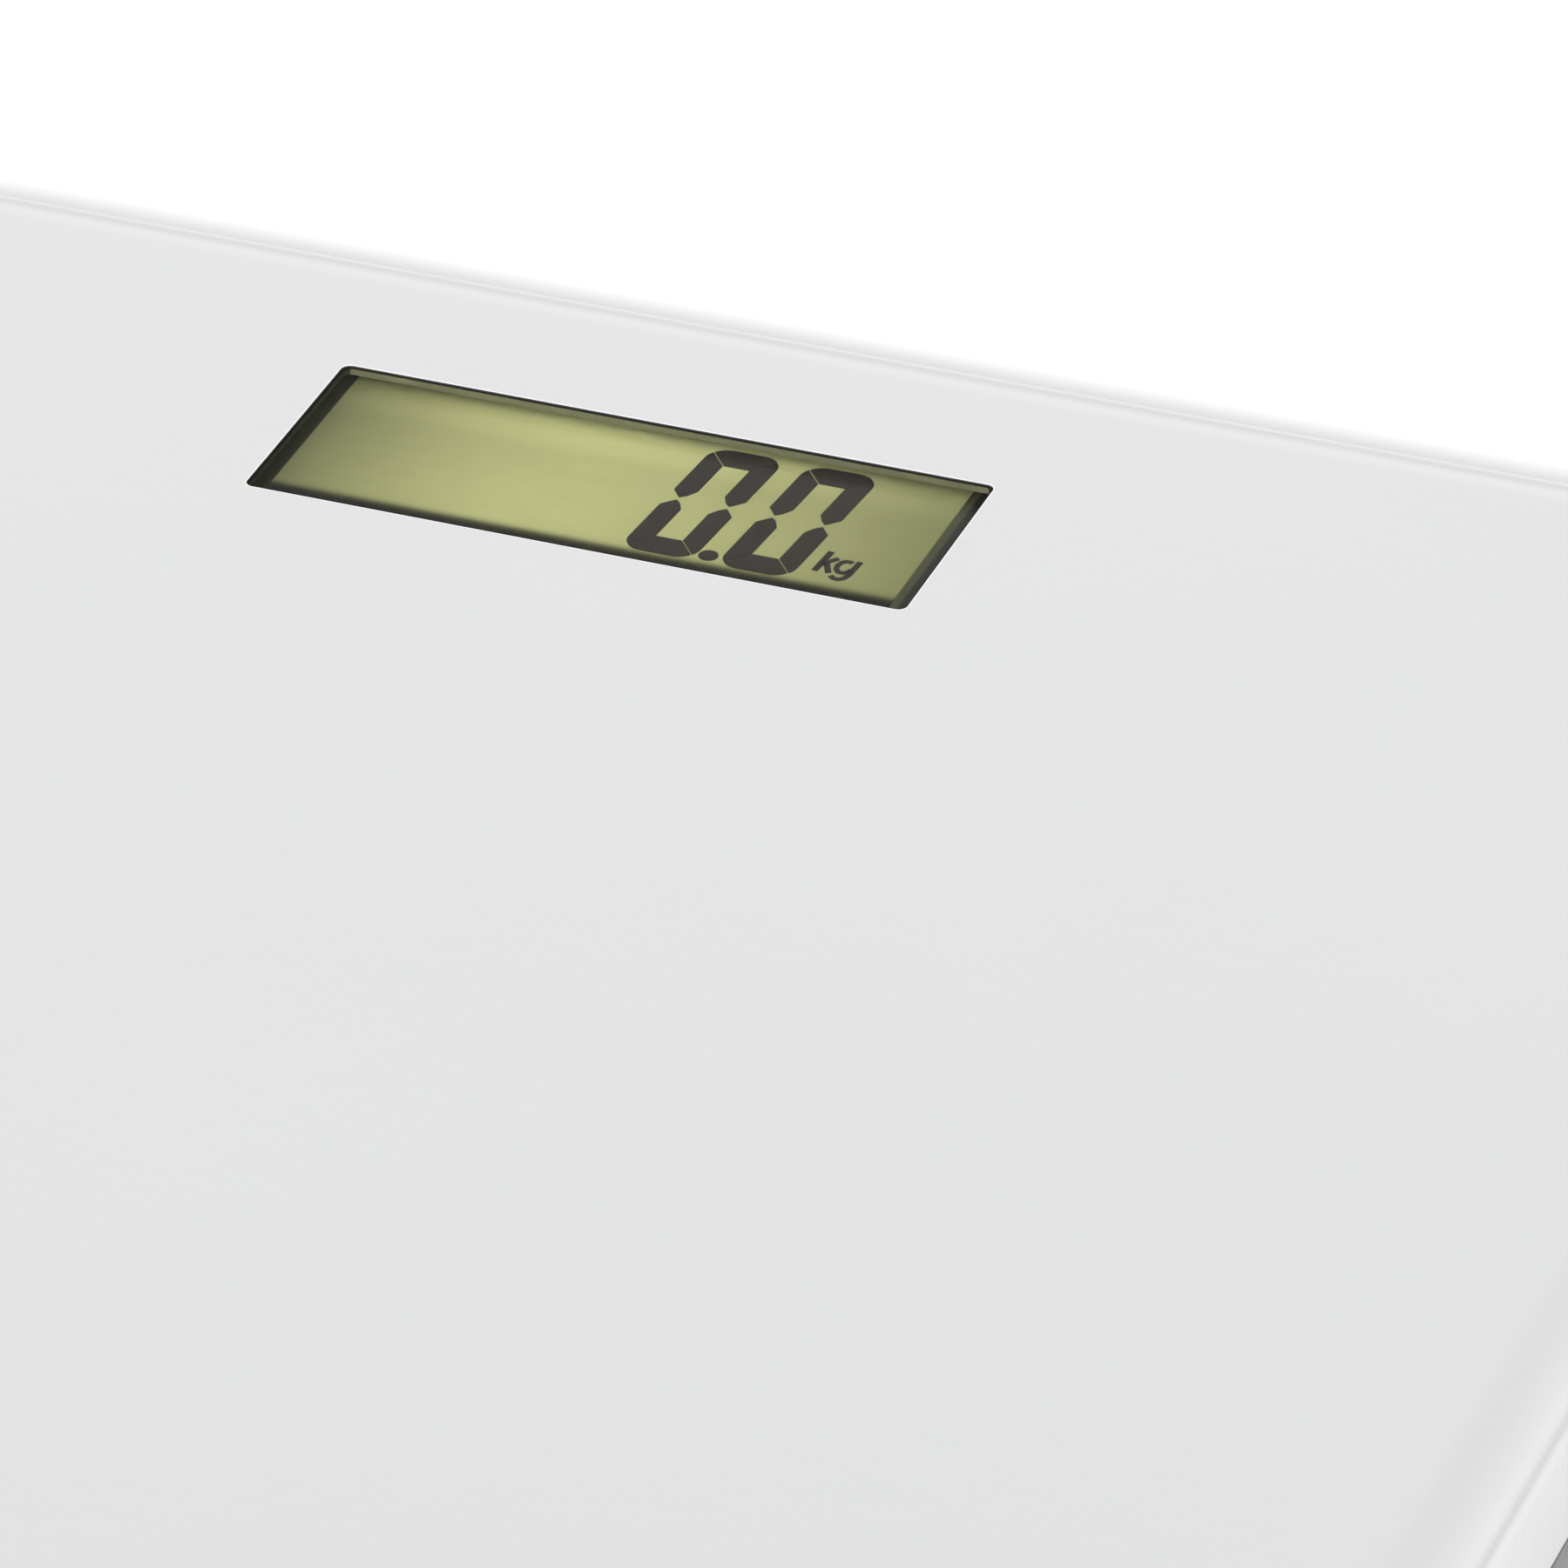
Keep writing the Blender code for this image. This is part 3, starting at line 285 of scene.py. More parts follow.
# ---------------------------------------------------------------------------
# Display lens. Clear acrylic, moulded with a raised pane that fills the punched window
# almost flush and a flange that is taped to the underside of the sheet. An anti-glare
# coat leaves it with far less reflection than bare acrylic.
# ---------------------------------------------------------------------------
LENS_BOTTOM = 25.9
LENS_FLANGE_TOP = 26.6
LENS_TOP = 27.7
LENS_GAP = 0.16
LENS_CHAMFER = 0.1
FLANGE_HALF_X = 42.0
FLANGE_HALF_Y = 18.0
FLANGE_CORNER = 3.0
LENS_STEPS = 12
COATED_INDEX = 1.1
lens_rings = []
for height in (LENS_BOTTOM, LENS_FLANGE_TOP):
    flange = rounded_loop(FLANGE_HALF_X, FLANGE_HALF_Y, FLANGE_CORNER, LENS_STEPS, WINDOW_Y)
    lens_rings.append((flange, height))
for inset, height in (
    (LENS_GAP, LENS_FLANGE_TOP),
    (LENS_GAP, LENS_TOP - 0.08),
    (LENS_GAP + 0.04, LENS_TOP - 0.02),
    (LENS_GAP + LENS_CHAMFER, LENS_TOP),
):
    lens_rings.append((window_outline(-inset, LENS_STEPS), height))
lens = sweep_rings("lens_pane", lens_rings, smooth_below=10)
clear = surface(
    "clear_acrylic",
    (0.985, 0.985, 0.96),
    roughness=0.05,
    tint=0.01,
    rough_span=0.015,
    bump=0.02,
    bump_depth=0.00001,
)
clear_shader = clear.node_tree.nodes["Principled BSDF"]
clear_shader.inputs["Transmission Weight"].default_value = 1.0
clear_shader.inputs["IOR"].default_value = COATED_INDEX
# The moulded edge walls are dark. The far wall is coloured lighter, as painted light and a painted
# reflection of the film.
dark_edge = surface("dark_pane_edge", (0.042, 0.042, 0.024), roughness=0.6, tint=0.1, specular=0.0)
far_edge_painted_light = surface("painted_light_far_edge", (0.22, 0.22, 0.125), roughness=0.6, tint=0.1, specular=0.0)
for material in (clear, dark_edge, far_edge_painted_light):
    lens.data.materials.append(material)
for face in lens.data.polygons:
    if len(face.vertices) == 4:
        # The far wall takes the painted light colour; the other walls are dark.
        face.material_index = 2 if face.normal.y > 0.9 else 1
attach(lens, "scale_body")
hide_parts("display_lens")

# The adhesive under the sheet squeezes up into the gap and seals the pane all round.
BEAD_SECTION = (
    (3.8, 26.7),
    (3.8, 27.1),
    (0.1, 27.1),
    (-0.02, 27.2),
    (-0.03, 27.78),
    (-0.08, 27.8),
    (-0.13, 27.74),
    (-0.14, 26.7),
)
bead_rings = [(window_outline(grow), height) for grow, height in BEAD_SECTION]
bead = sweep_rings("sealing_bead", bead_rings, closed=True, smooth_below=50)
adhesive = surface(
    "black_adhesive", (0.008, 0.008, 0.007), roughness=0.7, tint=0.2, bump=0.3, specular=0.1
)
bead.data.materials.append(adhesive)
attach(bead, "scale_body")
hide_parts("lens_tape")


# ---------------------------------------------------------------------------
# LCD cell. Two glass plates with the liquid crystal between them, over an olive reflective
# film that stops short of both ends, where the glass is dark over the black carrier. The
# switched-on segments are the separately printed shapes "0.0" and "kg".
# ---------------------------------------------------------------------------
def slab(name, low, high, material):
    """A box between two corners, in millimetres."""
    mesh = bmesh.new()
    size = [b - a for a, b in zip(low, high)]
    centre = [(a + b) / 2 for a, b in zip(low, high)]
    bmesh.ops.create_cube(mesh, size=1.0, matrix=Matrix.Translation(centre) @ Matrix.Diagonal((*size, 1)))
    bmesh.ops.bevel(mesh, geom=mesh.edges[:], offset=0.05, segments=2, affect="EDGES")
    bmesh.ops.scale(mesh, verts=mesh.verts, vec=(MM, MM, MM))
    data = bpy.data.meshes.new(name)
    mesh.to_mesh(data)
    mesh.free()
    data.materials.append(material)
    return link(bpy.data.objects.new(name, data))


LCD_HALF_X = 39.5
LCD_HALF_Y = 16.5
LCD_BOTTOM = 22.9
LCD_TOP = 25.38
glass_dark = surface(
    "lcd_border_glass",
    (0.06, 0.068, 0.024),
    roughness=0.1,
    rough_span=0.02,
    tint=0.08,
    bump=0.0,
    specular=0.05,
)
cell = slab(
    "lcd_cell",
    (-LCD_HALF_X, WINDOW_Y - LCD_HALF_Y, LCD_BOTTOM),
    (LCD_HALF_X, WINDOW_Y + LCD_HALF_Y, LCD_TOP),
    glass_dark,
)
BORDER_TONES = (
    (-LCD_HALF_X, 0.45),
    (-30.0, 0.45),
    (30.0, 1.0),
    (35.95, 1.0),
    (36.0, 1.0),
    (36.1, 0.12),
    (36.2, 0.12),
    (LCD_HALF_X, 0.12),
)
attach(cell, "scale_body")
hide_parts("lcd_glass")

# The reflective film is lit through the window, and its colour carries painted light and shade: it is
# darkened towards both ends, darkened near to black at the near edge as a painted shadow of the sheet, and
# lightened along its far edge as painted light.
READOUT_X = -0.34
READOUT_Y = WINDOW_Y + 0.9
FILM_LEFT = -36.7 + READOUT_X
FILM_RIGHT = 35.4 + READOUT_X
FILM_HALF_Y = 16.3
FILM_BOTTOM = 25.36
FILM_TOP = 25.44
# Painted shade: the film's colour darkens towards both ends.
FILM_PAINTED_SHADE_ALONG = (
    (-36.7, 0.36),
    (-34.0, 0.44),
    (-30.0, 0.55),
    (-25.0, 0.71),
    (-20.0, 0.84),
    (-13.0, 0.96),
    (-6.0, 1.0),
    (3.0, 0.95),
    (12.0, 0.86),
    (22.0, 0.74),
    (30.0, 0.55),
    (35.4, 0.5),
)
# Painted shadow of the sheet's near edge at the low end, and painted light along the far edge at the high
# end.
FILM_PAINTED_SHADOW_AND_LIGHT_ACROSS = (
    (-12.0, 0.015),
    (-11.2, 0.02),
    (-10.5, 0.08),
    (-9.9, 0.41),
    (-9.3, 0.65),
    (-8.3, 0.67),
    (-1.0, 0.65),
    (2.2, 0.64),
    (6.8, 0.61),
    (8.6, 0.7),
    (11.2, 0.75),
    (12.8, 0.84),
    (14.0, 1.0),
    (15.2, 1.0),
    (16.3, 1.0),
)


def tone_along(material, axis, middle, tones):
    """Multiplies a material's colour by tones at places along an axis, in millimetres."""
    nodes, links = material.node_tree.nodes, material.node_tree.links
    shader = nodes["Principled BSDF"]
    colour = shader.inputs["Base Color"].links[0].from_socket
    split = nodes.new("ShaderNodeSeparateXYZ")
    links.new(nodes.new("ShaderNodeTexCoord").outputs["Object"], split.inputs[0])
    span = nodes.new("ShaderNodeMapRange")
    span.inputs["From Min"].default_value = (middle + tones[0][0]) * MM
    span.inputs["From Max"].default_value = (middle + tones[-1][0]) * MM
    links.new(split.outputs[axis], span.inputs["Value"])
    ramp = nodes.new("ShaderNodeValToRGB")
    ramp.color_ramp.interpolation = "B_SPLINE"
    while len(ramp.color_ramp.elements) < len(tones):
        ramp.color_ramp.elements.new(0.5)
    for element, (place, tone) in zip(ramp.color_ramp.elements, tones):
        element.position = (place - tones[0][0]) / (tones[-1][0] - tones[0][0])
        element.color = (tone, tone, tone, 1.0)
    links.new(span.outputs["Result"], ramp.inputs["Fac"])
    mix = nodes.new("ShaderNodeMix")
    mix.data_type = "RGBA"
    mix.blend_type = "MULTIPLY"
    mix.inputs["Factor"].default_value = 1.0
    links.new(colour, mix.inputs["A"])
    links.new(ramp.outputs["Color"], mix.inputs["B"])
    links.new(mix.outputs["Result"], shader.inputs["Base Color"])


tone_along(glass_dark, "X", 0.0, BORDER_TONES)
olive = surface(
    "lcd_reflector",
    (0.9, 0.925, 0.415),
    roughness=0.4,
    specular=0.0,
    grain=(120.0, 900.0, 900.0),
    tint=0.03,
    rough_span=0.04,
    bump=0.03,
    bump_depth=0.00001,
    blotch=40.0,
)
# Painted light and shade on the film, along it and across it.
tone_along(olive, "X", READOUT_X, FILM_PAINTED_SHADE_ALONG)
tone_along(olive, "Y", READOUT_Y, FILM_PAINTED_SHADOW_AND_LIGHT_ACROSS)
film = slab(
    "lcd_film",
    (FILM_LEFT, WINDOW_Y - FILM_HALF_Y, FILM_BOTTOM),
    (FILM_RIGHT, WINDOW_Y + FILM_HALF_Y, FILM_TOP),
    olive,
)
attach(film, "scale_body")

DIGITS_X = (8.73, 19.83)
DIGIT_Y = 1.95
DIGIT_HALF_WIDTH = 4.17
DIGIT_HALF_HEIGHT = 11.85
UPRIGHT = 2.6
BAR = 3.45
DIGIT_CORNER = 2.3
SEPARATOR = 0.09
SLANT = 0.08
CORNER_CUT = 145
WAIST_TOP = 1.75
WAIST_TIP = (1.25, 0.27)
WAIST_INNER = (1.95, 0.9)
WAIST_BEND = 2.1
DOT_AT = (13.5, -8.37)
DOT_RADIUS = 1.1
INK_BOTTOM = 25.45
INK_TOP = 25.52


def corner_arc(first, last, count=6):
    """Points of the digit's rounded top-left corner between two angles, in degrees."""
    centre_x = DIGIT_CORNER - DIGIT_HALF_WIDTH
    centre_y = DIGIT_HALF_HEIGHT - DIGIT_CORNER
    points = []
    for step in range(count + 1):
        angle = math.radians(first + (last - first) * step / count)
        points.append(
            (centre_x + DIGIT_CORNER * math.cos(angle), centre_y + DIGIT_CORNER * math.sin(angle))
        )
    return points


inner_x = DIGIT_HALF_WIDTH - UPRIGHT
inner_y = DIGIT_HALF_HEIGHT - BAR
left_half = [(x + SEPARATOR, y) for x, y in corner_arc(CORNER_CUT, 90)]
top_bar = left_half + [(-x, y) for x, y in reversed(left_half)]
top_bar += [(inner_x - SEPARATOR, inner_y), (SEPARATOR - inner_x, inner_y)]
upright = [(x, y - SEPARATOR) for x, y in corner_arc(CORNER_CUT, 180)]
upright += [
    (-DIGIT_HALF_WIDTH, WAIST_TOP),
    (WAIST_TIP[0] - DIGIT_HALF_WIDTH, WAIST_TIP[1]),
    (WAIST_INNER[0] - DIGIT_HALF_WIDTH, WAIST_INNER[1]),
    (UPRIGHT - DIGIT_HALF_WIDTH, WAIST_BEND),
    (UPRIGHT - DIGIT_HALF_WIDTH, inner_y - SEPARATOR),
]
segments = []
for sign_y in (1, -1):
    segments.append([(x, sign_y * y) for x, y in top_bar])
    for sign_x in (1, -1):
        segments.append([(sign_x * x, sign_y * y) for x, y in upright])

printed = bmesh.new()


def print_shape(points):
    """Adds a thin raised shape, given in millimetres from the readout's centre."""
    area = sum(x0 * y1 - x1 * y0 for (x0, y0), (x1, y1) in zip(points, points[1:] + points[:1]))
    if area < 0:
        points = points[::-1]
    places = [((x + READOUT_X) * MM, (y + READOUT_Y) * MM) for x, y in points]
    low = [printed.verts.new((*place, INK_BOTTOM * MM)) for place in places]
    high = [printed.verts.new((*place, INK_TOP * MM)) for place in places]
    printed.faces.new(high)
    printed.faces.new(low[::-1])
    for index in range(len(points)):
        after = (index + 1) % len(points)
        printed.faces.new((low[index], low[after], high[after], high[index]))


for digit_x in DIGITS_X:
    for points in segments:
        leaned = [(x + digit_x + SLANT * (y + DIGIT_Y), y + DIGIT_Y) for x, y in points]
        print_shape(leaned)


def round_path(centre, radii, degrees):
    """Points round an ellipse at the given angles."""
    turns = [math.radians(angle) for angle in degrees]
    return [
        (centre[0] + radii[0] * math.cos(turn), centre[1] + radii[1] * math.sin(turn)) for turn in turns
    ]


def stroke(path, width):
    """A pen stroke of even width along a path."""
    left, right = [], []
    for index, point in enumerate(path):
        before = Vector(path[max(index - 1, 0)])
        after = Vector(path[min(index + 1, len(path) - 1)])
        along = (after - before).normalized()
        side = Vector((-along.y, along.x)) * width / 2
        left.append(tuple(Vector(point) + side))
        right.append(tuple(Vector(point) - side))
    print_shape(left + right[::-1])


# The unit: a "k" of three strokes, then a "g" of an open bowl and a tail.
K_STROKES = (
    ([(25.62, -2.95), (25.28, -7.3)], 0.72),
    ([(25.5, -5.75), (26.85, -4.05)], 0.62),
    ([(25.95, -5.35), (26.85, -7.28)], 0.7),
)
G_BOWL = round_path((28.12, -5.55), (0.86, 1.25), range(60, 350, 16))
G_TAIL = [(29.3, -3.95), (29.1, -6.9), (28.85, -7.8), (28.3, -8.25), (27.7, -8.15), (27.3, -7.75)]
print_shape(round_path(DOT_AT, (DOT_RADIUS, DOT_RADIUS), range(0, 360, 15)))
for path, width in (*K_STROKES, (G_BOWL, 0.62), (G_TAIL, 0.66)):
    stroke(path, width)
bmesh.ops.recalc_face_normals(printed, faces=printed.faces)
readout_data = bpy.data.meshes.new("lcd_readout")
printed.to_mesh(readout_data)
printed.free()
readout = link(bpy.data.objects.new("lcd_readout", readout_data))
ink = surface("lcd_segments", (0.043, 0.039, 0.032), roughness=0.45, tint=0.08, bump=0.0, specular=0.0)
readout.data.materials.append(ink)
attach(readout, "scale_body")


# ---------------------------------------------------------------------------
# Everything below and inside: moulded plastics with a fine spark-eroded grain, plated
# steel, rubber and copper leads, each with the finish of its own process.
# ---------------------------------------------------------------------------
SPARK_GRAIN = (1100.0,) * 3
FINE_GRAIN = (900.0,) * 3
finishes = {
    "frame_plastic": surface("moulded_frame", (0.27, 0.28, 0.29), roughness=0.55, grain=FINE_GRAIN),
    "base_plastic": surface("moulded_base", (0.055, 0.056, 0.06), grain=SPARK_GRAIN, tint=0.12, bump=0.3),
    "display_holder_plastic": surface("moulded_carrier", (0.02, 0.02, 0.02), roughness=0.5, tint=0.15),
    "foot_plastic": surface(
        "moulded_foot", (0.09, 0.09, 0.095), roughness=0.45, grain=SPARK_GRAIN, tint=0.1
    ),
    "pad_rubber": surface(
        "rubber_pad", (0.03, 0.03, 0.03), roughness=0.8, grain=(700.0,) * 3, tint=0.15, bump=0.5
    ),
    "seat_plastic": surface("moulded_seat", (0.52, 0.52, 0.49), roughness=0.5, grain=FINE_GRAIN),
    "door_plastic": surface("moulded_door", (0.06, 0.06, 0.065), grain=SPARK_GRAIN, tint=0.12, bump=0.3),
    "key_plastic": surface("moulded_key", (0.25, 0.25, 0.26), roughness=0.4, grain=FINE_GRAIN),
    "plated_steel": surface("plated_cell", (0.62, 0.62, 0.6), metallic=1.0, roughness=0.3, tint=0.06),
    "zinc_plated_screw": surface("zinc_screw", (0.6, 0.61, 0.63), metallic=1.0, roughness=0.35, tint=0.08),
    "nickel_contact": surface("nickel_leaf", (0.7, 0.68, 0.64), metallic=1.0, roughness=0.25, tint=0.05),
    "white_silicone": surface("silicone_blob", (0.78, 0.78, 0.75), roughness=0.6, bump=0.4),
    "zebra_rubber": surface(
        "zebra_layers", (0.18, 0.18, 0.19), roughness=0.7, grain=(4000.0, 10.0, 10.0), tint=0.5
    ),
    "board_green": surface("solder_mask", (0.03, 0.15, 0.06), roughness=0.35, grain=(500.0,) * 3, tint=0.15),
    "chip_epoxy": surface("epoxy_blob", (0.012, 0.012, 0.012), roughness=0.2, tint=0.2),
    "switch_body": surface("switch_case", (0.04, 0.04, 0.04), roughness=0.4, tint=0.15),
    "battery_wrap": surface("battery_sleeve", (0.05, 0.1, 0.28), roughness=0.3, tint=0.08),
    "lead_grey": surface("lead_sheath", (0.33, 0.33, 0.34), roughness=0.5, tint=0.06),
    "lead_red": surface("red_lead", (0.4, 0.02, 0.02), roughness=0.45, tint=0.08),
    "lead_black": surface("black_lead", (0.02, 0.02, 0.02), roughness=0.45, tint=0.15),
}
slot_of = {part["node"]: part["material_slot"] for part in frame["record"]["subparts"]}
for name, piece in frame["nodes"].items():
    if slot_of[name] in finishes:
        piece.data.materials[0] = finishes[slot_of[name]]


# ---------------------------------------------------------------------------
# Case screws. Eight zinc-plated pan heads with a cold-formed cross recess, each driven up
# into its post and left at whatever angle it stopped.
# ---------------------------------------------------------------------------
def grow_mesh(name, points, settings, build, material):
    """Bakes a geometry node tree, fed with points in millimetres, into one plain mesh object."""
    tree = bpy.data.node_groups.new(name + "_tree", "GeometryNodeTree")
    tree.interface.new_socket("Points", in_out="INPUT", socket_type="NodeSocketGeometry")
    chosen = {}
    for label, (kind, value) in settings.items():
        socket = tree.interface.new_socket(label, in_out="INPUT", socket_type=kind)
        chosen[socket.identifier] = value
    tree.interface.new_socket("Mesh", in_out="OUTPUT", socket_type="NodeSocketGeometry")
    given = tree.nodes.new("NodeGroupInput")
    real = tree.nodes.new("GeometryNodeRealizeInstances")
    coat = tree.nodes.new("GeometryNodeSetMaterial")
    coat.inputs["Material"].default_value = material
    tree.links.new(build(tree, given), real.inputs["Geometry"])
    tree.links.new(real.outputs["Geometry"], coat.inputs["Geometry"])
    tree.links.new(coat.outputs["Geometry"], tree.nodes.new("NodeGroupOutput").inputs["Mesh"])
    seeds = bpy.data.meshes.new(name)
    seeds.from_pydata([tuple(value * MM for value in point) for point in points], [], [])
    grown = link(bpy.data.objects.new(name, seeds))
    grower = grown.modifiers.new("grow", "NODES")
    grower.node_group = tree
    for identifier, value in chosen.items():
        grower[identifier] = value
    bpy.context.view_layer.update()
    settled = grown.evaluated_get(bpy.context.evaluated_depsgraph_get())
    baked = bpy.data.meshes.new_from_object(settled)
    grown.modifiers.remove(grower)
    grown.data = baked
    return grown


def node(tree, kind, sockets=(), **settings):
    """A new node with its settings and its sockets, where a socket takes a value or a link."""
    made = tree.nodes.new(kind)
    for key, value in settings.items():
        setattr(made, key, value)
    for key, value in dict(sockets).items():
        if isinstance(value, bpy.types.NodeSocket):
            tree.links.new(value, made.inputs[key])
        else:
            made.inputs[key].default_value = value
    return made


def moved(tree, geometry, **transform):
    """The geometry after a Transform node; distances are in metres."""
    sockets = {"Geometry": geometry}
    sockets.update({key.capitalize(): value for key, value in transform.items()})
    return node(tree, "GeometryNodeTransform", sockets).outputs["Geometry"]


def joined(tree, *geometries):
    join = tree.nodes.new("GeometryNodeJoinGeometry")
    for geometry in geometries:
        tree.links.new(geometry, join.inputs["Geometry"])
    return join.outputs["Geometry"]


HEAD_SIDES = 28
HEAD_BOTTOM = 5.0
CROWN_RISE = 0.7
CROWN_RADIUS = 2.2
HEAD_TOP = 6.9
SHANK_SIDES = 16
SHANK_RADIUS = 1.4
SHANK_BOTTOM = 6.8
SHANK_TOP = 16.4


def turned(tree, sides, radius, bottom, top):
    """A closed cylinder between two heights in millimetres; its radius is in metres or a socket."""
    barrel = node(
        tree,
        "GeometryNodeMeshCylinder",
        {"Vertices": sides, "Radius": radius, "Depth": (top - bottom) * MM},
    )
    return moved(tree, barrel.outputs["Mesh"], translation=(0, 0, (top + bottom) / 2 * MM))


def case_screw(tree, given):
    """A pan head with a cross cut into its crown, on a plain shank, at each given point."""
    head_radius, recess = given.outputs["Head radius"], given.outputs["Recess size"]
    crown = node(
        tree,
        "GeometryNodeMeshCone",
        {
            "Vertices": HEAD_SIDES,
            "Radius Top": CROWN_RADIUS * MM,
            "Radius Bottom": head_radius,
            "Depth": CROWN_RISE * MM,
        },
    )
    body = joined(
        tree,
        turned(tree, HEAD_SIDES, head_radius, HEAD_BOTTOM + CROWN_RISE, HEAD_TOP),
        turned(tree, SHANK_SIDES, SHANK_RADIUS * MM, SHANK_BOTTOM, SHANK_TOP),
    )
    crown_down = moved(
        tree,
        crown.outputs["Mesh"],
        translation=(0, 0, (HEAD_BOTTOM + CROWN_RISE) * MM),
        rotation=(math.pi, 0, 0),
    )
    slot = node(tree, "GeometryNodeMeshCube", {"Size": recess}).outputs["Mesh"]
    cross = joined(
        tree,
        moved(tree, slot, translation=(0, 0, HEAD_BOTTOM * MM)),
        moved(tree, slot, translation=(0, 0, HEAD_BOTTOM * MM), rotation=(0, 0, math.pi / 2)),
    )
    cut = node(tree, "GeometryNodeMeshBoolean", {"Mesh 1": crown_down}, operation="DIFFERENCE")
    tree.links.new(cross, cut.inputs["Mesh 2"])
    stopped = node(
        tree, "FunctionNodeRandomValue", {"Seed": given.outputs["Seed"]}, data_type="FLOAT_VECTOR"
    )
    stopped.inputs["Max"].default_value = (0, 0, math.pi)
    placed = node(
        tree,
        "GeometryNodeInstanceOnPoints",
        {
            "Points": given.outputs["Points"],
            "Instance": joined(tree, body, cut.outputs["Mesh"]),
            "Rotation": stopped.outputs["Value"],
        },
    )
    return placed.outputs["Instances"]


SCREW_PAIRS = ((125.0, 35.0), (125.0, -35.0), (45.0, -125.0), (64.0, 128.0))
screw_places = [(side * x, y, 0) for side in (-1, 1) for x, y in SCREW_PAIRS]
screws = grow_mesh(
    "case_screws",
    screw_places,
    {
        "Head radius": ("NodeSocketFloat", 3.1 * MM),
        "Recess size": ("NodeSocketVector", (3.0 * MM, 0.7 * MM, 1.1 * MM)),
        "Seed": ("NodeSocketInt", 4),
    },
    case_screw,
    finishes["zinc_plated_screw"],
)
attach(screws, "scale_body")
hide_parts(*["base_screw_%d" % number for number in range(1, 9)])


# ---------------------------------------------------------------------------
# Foot pads. Each is a moulded rubber disc whose underside has a ring of short radial ribs
# and a plain central boss, all touching the table together.
# ---------------------------------------------------------------------------
PAD_SIDES = 64
PAD_BOTTOM = 0.5
PAD_TOP = 2.3
PAD_BOSS_SIDES = 40
PAD_BOSS_RADIUS = 6.0
RIB_RING = 11.4
RIB_HEIGHT = 1.0


def foot_pad(tree, given):
    """A disc with a central boss and a ring of radial ribs under it, at the given point."""
    circle = node(
        tree,
        "GeometryNodeMeshCircle",
        {"Vertices": given.outputs["Rib count"], "Radius": RIB_RING * MM},
    )
    rib = node(tree, "GeometryNodeMeshCube", {"Size": given.outputs["Rib size"]}).outputs["Mesh"]
    outward = node(
        tree,
        "FunctionNodeAlignRotationToVector",
        {"Vector": tree.nodes.new("GeometryNodeInputPosition").outputs["Position"]},
        axis="X",
    )
    ribs = node(
        tree,
        "GeometryNodeInstanceOnPoints",
        {
            "Points": circle.outputs["Mesh"],
            "Instance": moved(tree, rib, translation=(0, 0, RIB_HEIGHT / 2 * MM)),
            "Rotation": outward.outputs["Rotation"],
        },
    )
    pad = joined(
        tree,
        turned(tree, PAD_SIDES, given.outputs["Pad radius"], PAD_BOTTOM, PAD_TOP),
        turned(tree, PAD_BOSS_SIDES, PAD_BOSS_RADIUS * MM, 0.0, RIB_HEIGHT),
        ribs.outputs["Instances"],
    )
    placed = node(
        tree, "GeometryNodeInstanceOnPoints", {"Points": given.outputs["Points"], "Instance": pad}
    )
    return placed.outputs["Instances"]


FOOT_AT = 112.0
CORNERS = (("near_left", -1, -1), ("near_right", 1, -1), ("far_left", -1, 1), ("far_right", 1, 1))
for corner, side_x, side_y in CORNERS:
    pad = grow_mesh(
        "ribbed_pad_" + corner,
        [(side_x * FOOT_AT, side_y * FOOT_AT, 0)],
        {
            "Pad radius": ("NodeSocketFloat", 17.0 * MM),
            "Rib count": ("NodeSocketInt", 30),
            "Rib size": ("NodeSocketVector", (7.0 * MM, 1.0 * MM, RIB_HEIGHT * MM)),
        },
        foot_pad,
        finishes["pad_rubber"],
    )
    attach(pad, "foot_body_" + corner)
    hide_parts("foot_pad_" + corner)


# ---------------------------------------------------------------------------
# Load cells. Stamped spring-steel plates, nickel plated, which give way as the foot is pushed up.
# Each is copied from its part as it stands, unflexed, onto the scale body.
# ---------------------------------------------------------------------------
for corner, side_x, side_y in CORNERS:
    plate_data = frame["nodes"]["load_cell_" + corner].data.copy()
    plate = link(bpy.data.objects.new("flexing_cell_" + corner, plate_data))
    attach(plate, "scale_body")
    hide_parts("load_cell_" + corner)
    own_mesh(plate)


# ---------------------------------------------------------------------------
# Battery door grip. Low moulded bars beside the finger scoop, part of the door's outer face.
# ---------------------------------------------------------------------------
GRIP_START = (0, 26.5, 3.95)


def grip_bars(tree, given):
    """A row of bars that starts at the given point."""
    bar = node(tree, "GeometryNodeMeshCube", {"Size": given.outputs["Bar size"]}).outputs["Mesh"]
    row = node(
        tree,
        "GeometryNodeMeshLine",
        {"Count": given.outputs["Bar count"], "Offset": given.outputs["Bar pitch"]},
    )
    bars = node(tree, "GeometryNodeInstanceOnPoints", {"Points": row.outputs["Mesh"], "Instance": bar})
    placed = node(
        tree,
        "GeometryNodeInstanceOnPoints",
        {"Points": given.outputs["Points"], "Instance": bars.outputs["Instances"]},
    )
    return placed.outputs["Instances"]


grip = grow_mesh(
    "door_grip",
    [GRIP_START],
    {
        "Bar size": ("NodeSocketVector", (18.0 * MM, 0.9 * MM, 0.5 * MM)),
        "Bar count": ("NodeSocketInt", 5),
        "Bar pitch": ("NodeSocketVector", (0, 2.0 * MM, 0)),
    },
    grip_bars,
    finishes["door_plastic"],
)
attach(grip, "battery_door_body")


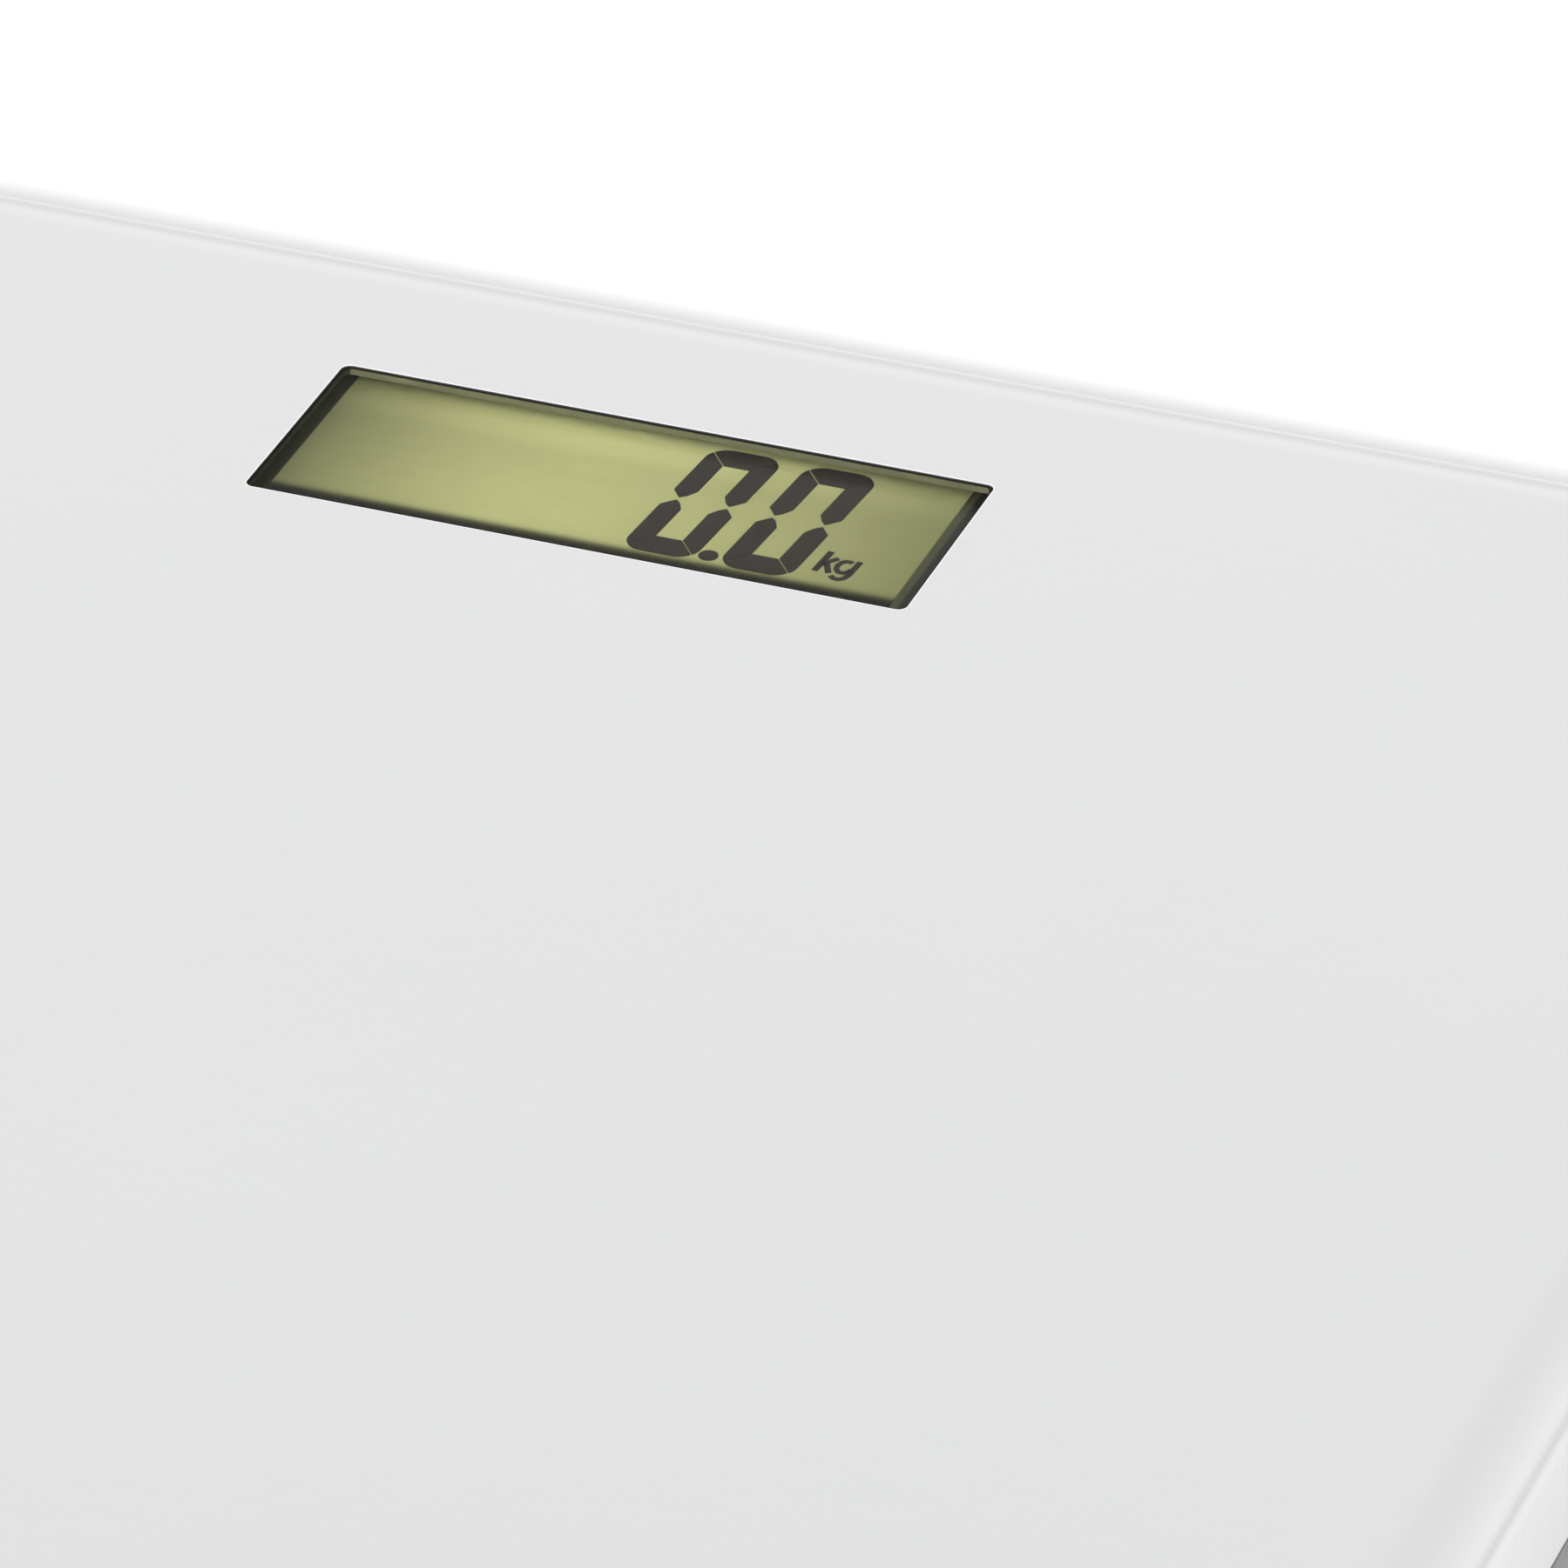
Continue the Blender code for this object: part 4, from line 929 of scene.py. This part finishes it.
# ---------------------------------------------------------------------------
# The set: a white floor under broad, even studio light, with a long lens looking down over
# the near right corner.
# ---------------------------------------------------------------------------
FLOOR_HALF = 40.0
floor_mesh = bmesh.new()
bmesh.ops.create_grid(floor_mesh, x_segments=2, y_segments=2, size=FLOOR_HALF)
floor_data = bpy.data.meshes.new("studio_floor")
floor_mesh.to_mesh(floor_data)
floor_mesh.free()
floor = link(bpy.data.objects.new("studio_floor", floor_data))
white = surface(
    "floor_paint", (0.93,) * 3, roughness=0.9, grain=(30.0,) * 3, tint=0.005, bump=0.0, specular=0.0
)
floor.data.materials.append(white)

# Soft light all round, by height: dimmer at the horizon, brightest some 13 to 25 degrees up
# and falling off overhead.
world = bpy.data.worlds.new("studio_air")
bpy.context.scene.world = world
world.use_nodes = True
air, air_links = world.node_tree.nodes, world.node_tree.links
sky = air["Background"]
sky_height = air.new("ShaderNodeSeparateXYZ")
air_links.new(air.new("ShaderNodeTexCoord").outputs["Generated"], sky_height.inputs[0])
sky_ramp = air.new("ShaderNodeValToRGB")
SKY_PEAK = 1.4
sky_levels = (
    (0.0, 0.8),
    (0.04, 0.84),
    (0.13, 0.86),
    (0.22, 1.17),
    (0.35, 1.17),
    (0.42, 1.14),
    (0.50, 1.06),
    (0.60, 1.12),
    (0.72, 0.8),
    (1.0, 0.52),
)
while len(sky_ramp.color_ramp.elements) < len(sky_levels):
    sky_ramp.color_ramp.elements.new(0.5)
for element, (height, level) in zip(sky_ramp.color_ramp.elements, sky_levels):
    element.position = height
    element.color = (level / SKY_PEAK, level / SKY_PEAK, level / SKY_PEAK, 1.0)
air_links.new(sky_height.outputs["Z"], sky_ramp.inputs["Fac"])
air_links.new(sky_ramp.outputs["Color"], sky.inputs["Color"])
sky.inputs["Strength"].default_value = SKY_PEAK

# A round key light from the front, which throws a thin shadow of the window's near edge on the film; the
# wider shadow there is painted shade in the film's colour.
KEY_WIDTH = 0.096
KEY_WATTS = 32.0
KEY_PLACE = Vector((0.3, -1.7, 1.068))
KEY_AIM = Vector((0, 0.1, 0))
key_data = bpy.data.lights.new("key_light", "AREA")
key_data.shape = "DISK"
key_data.size = KEY_WIDTH
key_data.energy = KEY_WATTS
key_light = link(bpy.data.objects.new("key_light", key_data))
key_light.location = KEY_PLACE
key_light.rotation_euler = (KEY_AIM - KEY_PLACE).to_track_quat("-Z", "Y").to_euler()

# A long lens, from the near right and above.
CAMERA_AZIMUTH = 20.79
CAMERA_ELEVATION = 31.13
CAMERA_DISTANCE = 1.272
CAMERA_LENS = 281.2
azimuth, elevation = math.radians(CAMERA_AZIMUTH), math.radians(CAMERA_ELEVATION)
back = Vector(
    (
        math.sin(azimuth) * math.cos(elevation),
        -math.cos(azimuth) * math.cos(elevation),
        math.sin(elevation),
    )
)
aim = Vector((0.03883, 0.05612, SHEET_TOP * MM))
camera_data = bpy.data.cameras.new("studio_camera")
camera_data.sensor_width = 36.0
camera_data.lens = CAMERA_LENS
camera_data.clip_start = 0.05
camera_data.clip_end = 100.0
camera = link(bpy.data.objects.new("studio_camera", camera_data))
camera.location = aim + back * CAMERA_DISTANCE
camera.rotation_mode = "QUATERNION"
camera.rotation_quaternion = (-back).to_track_quat("-Z", "Y")
bpy.context.scene.camera = camera
bpy.context.scene.view_settings.view_transform = "Standard"
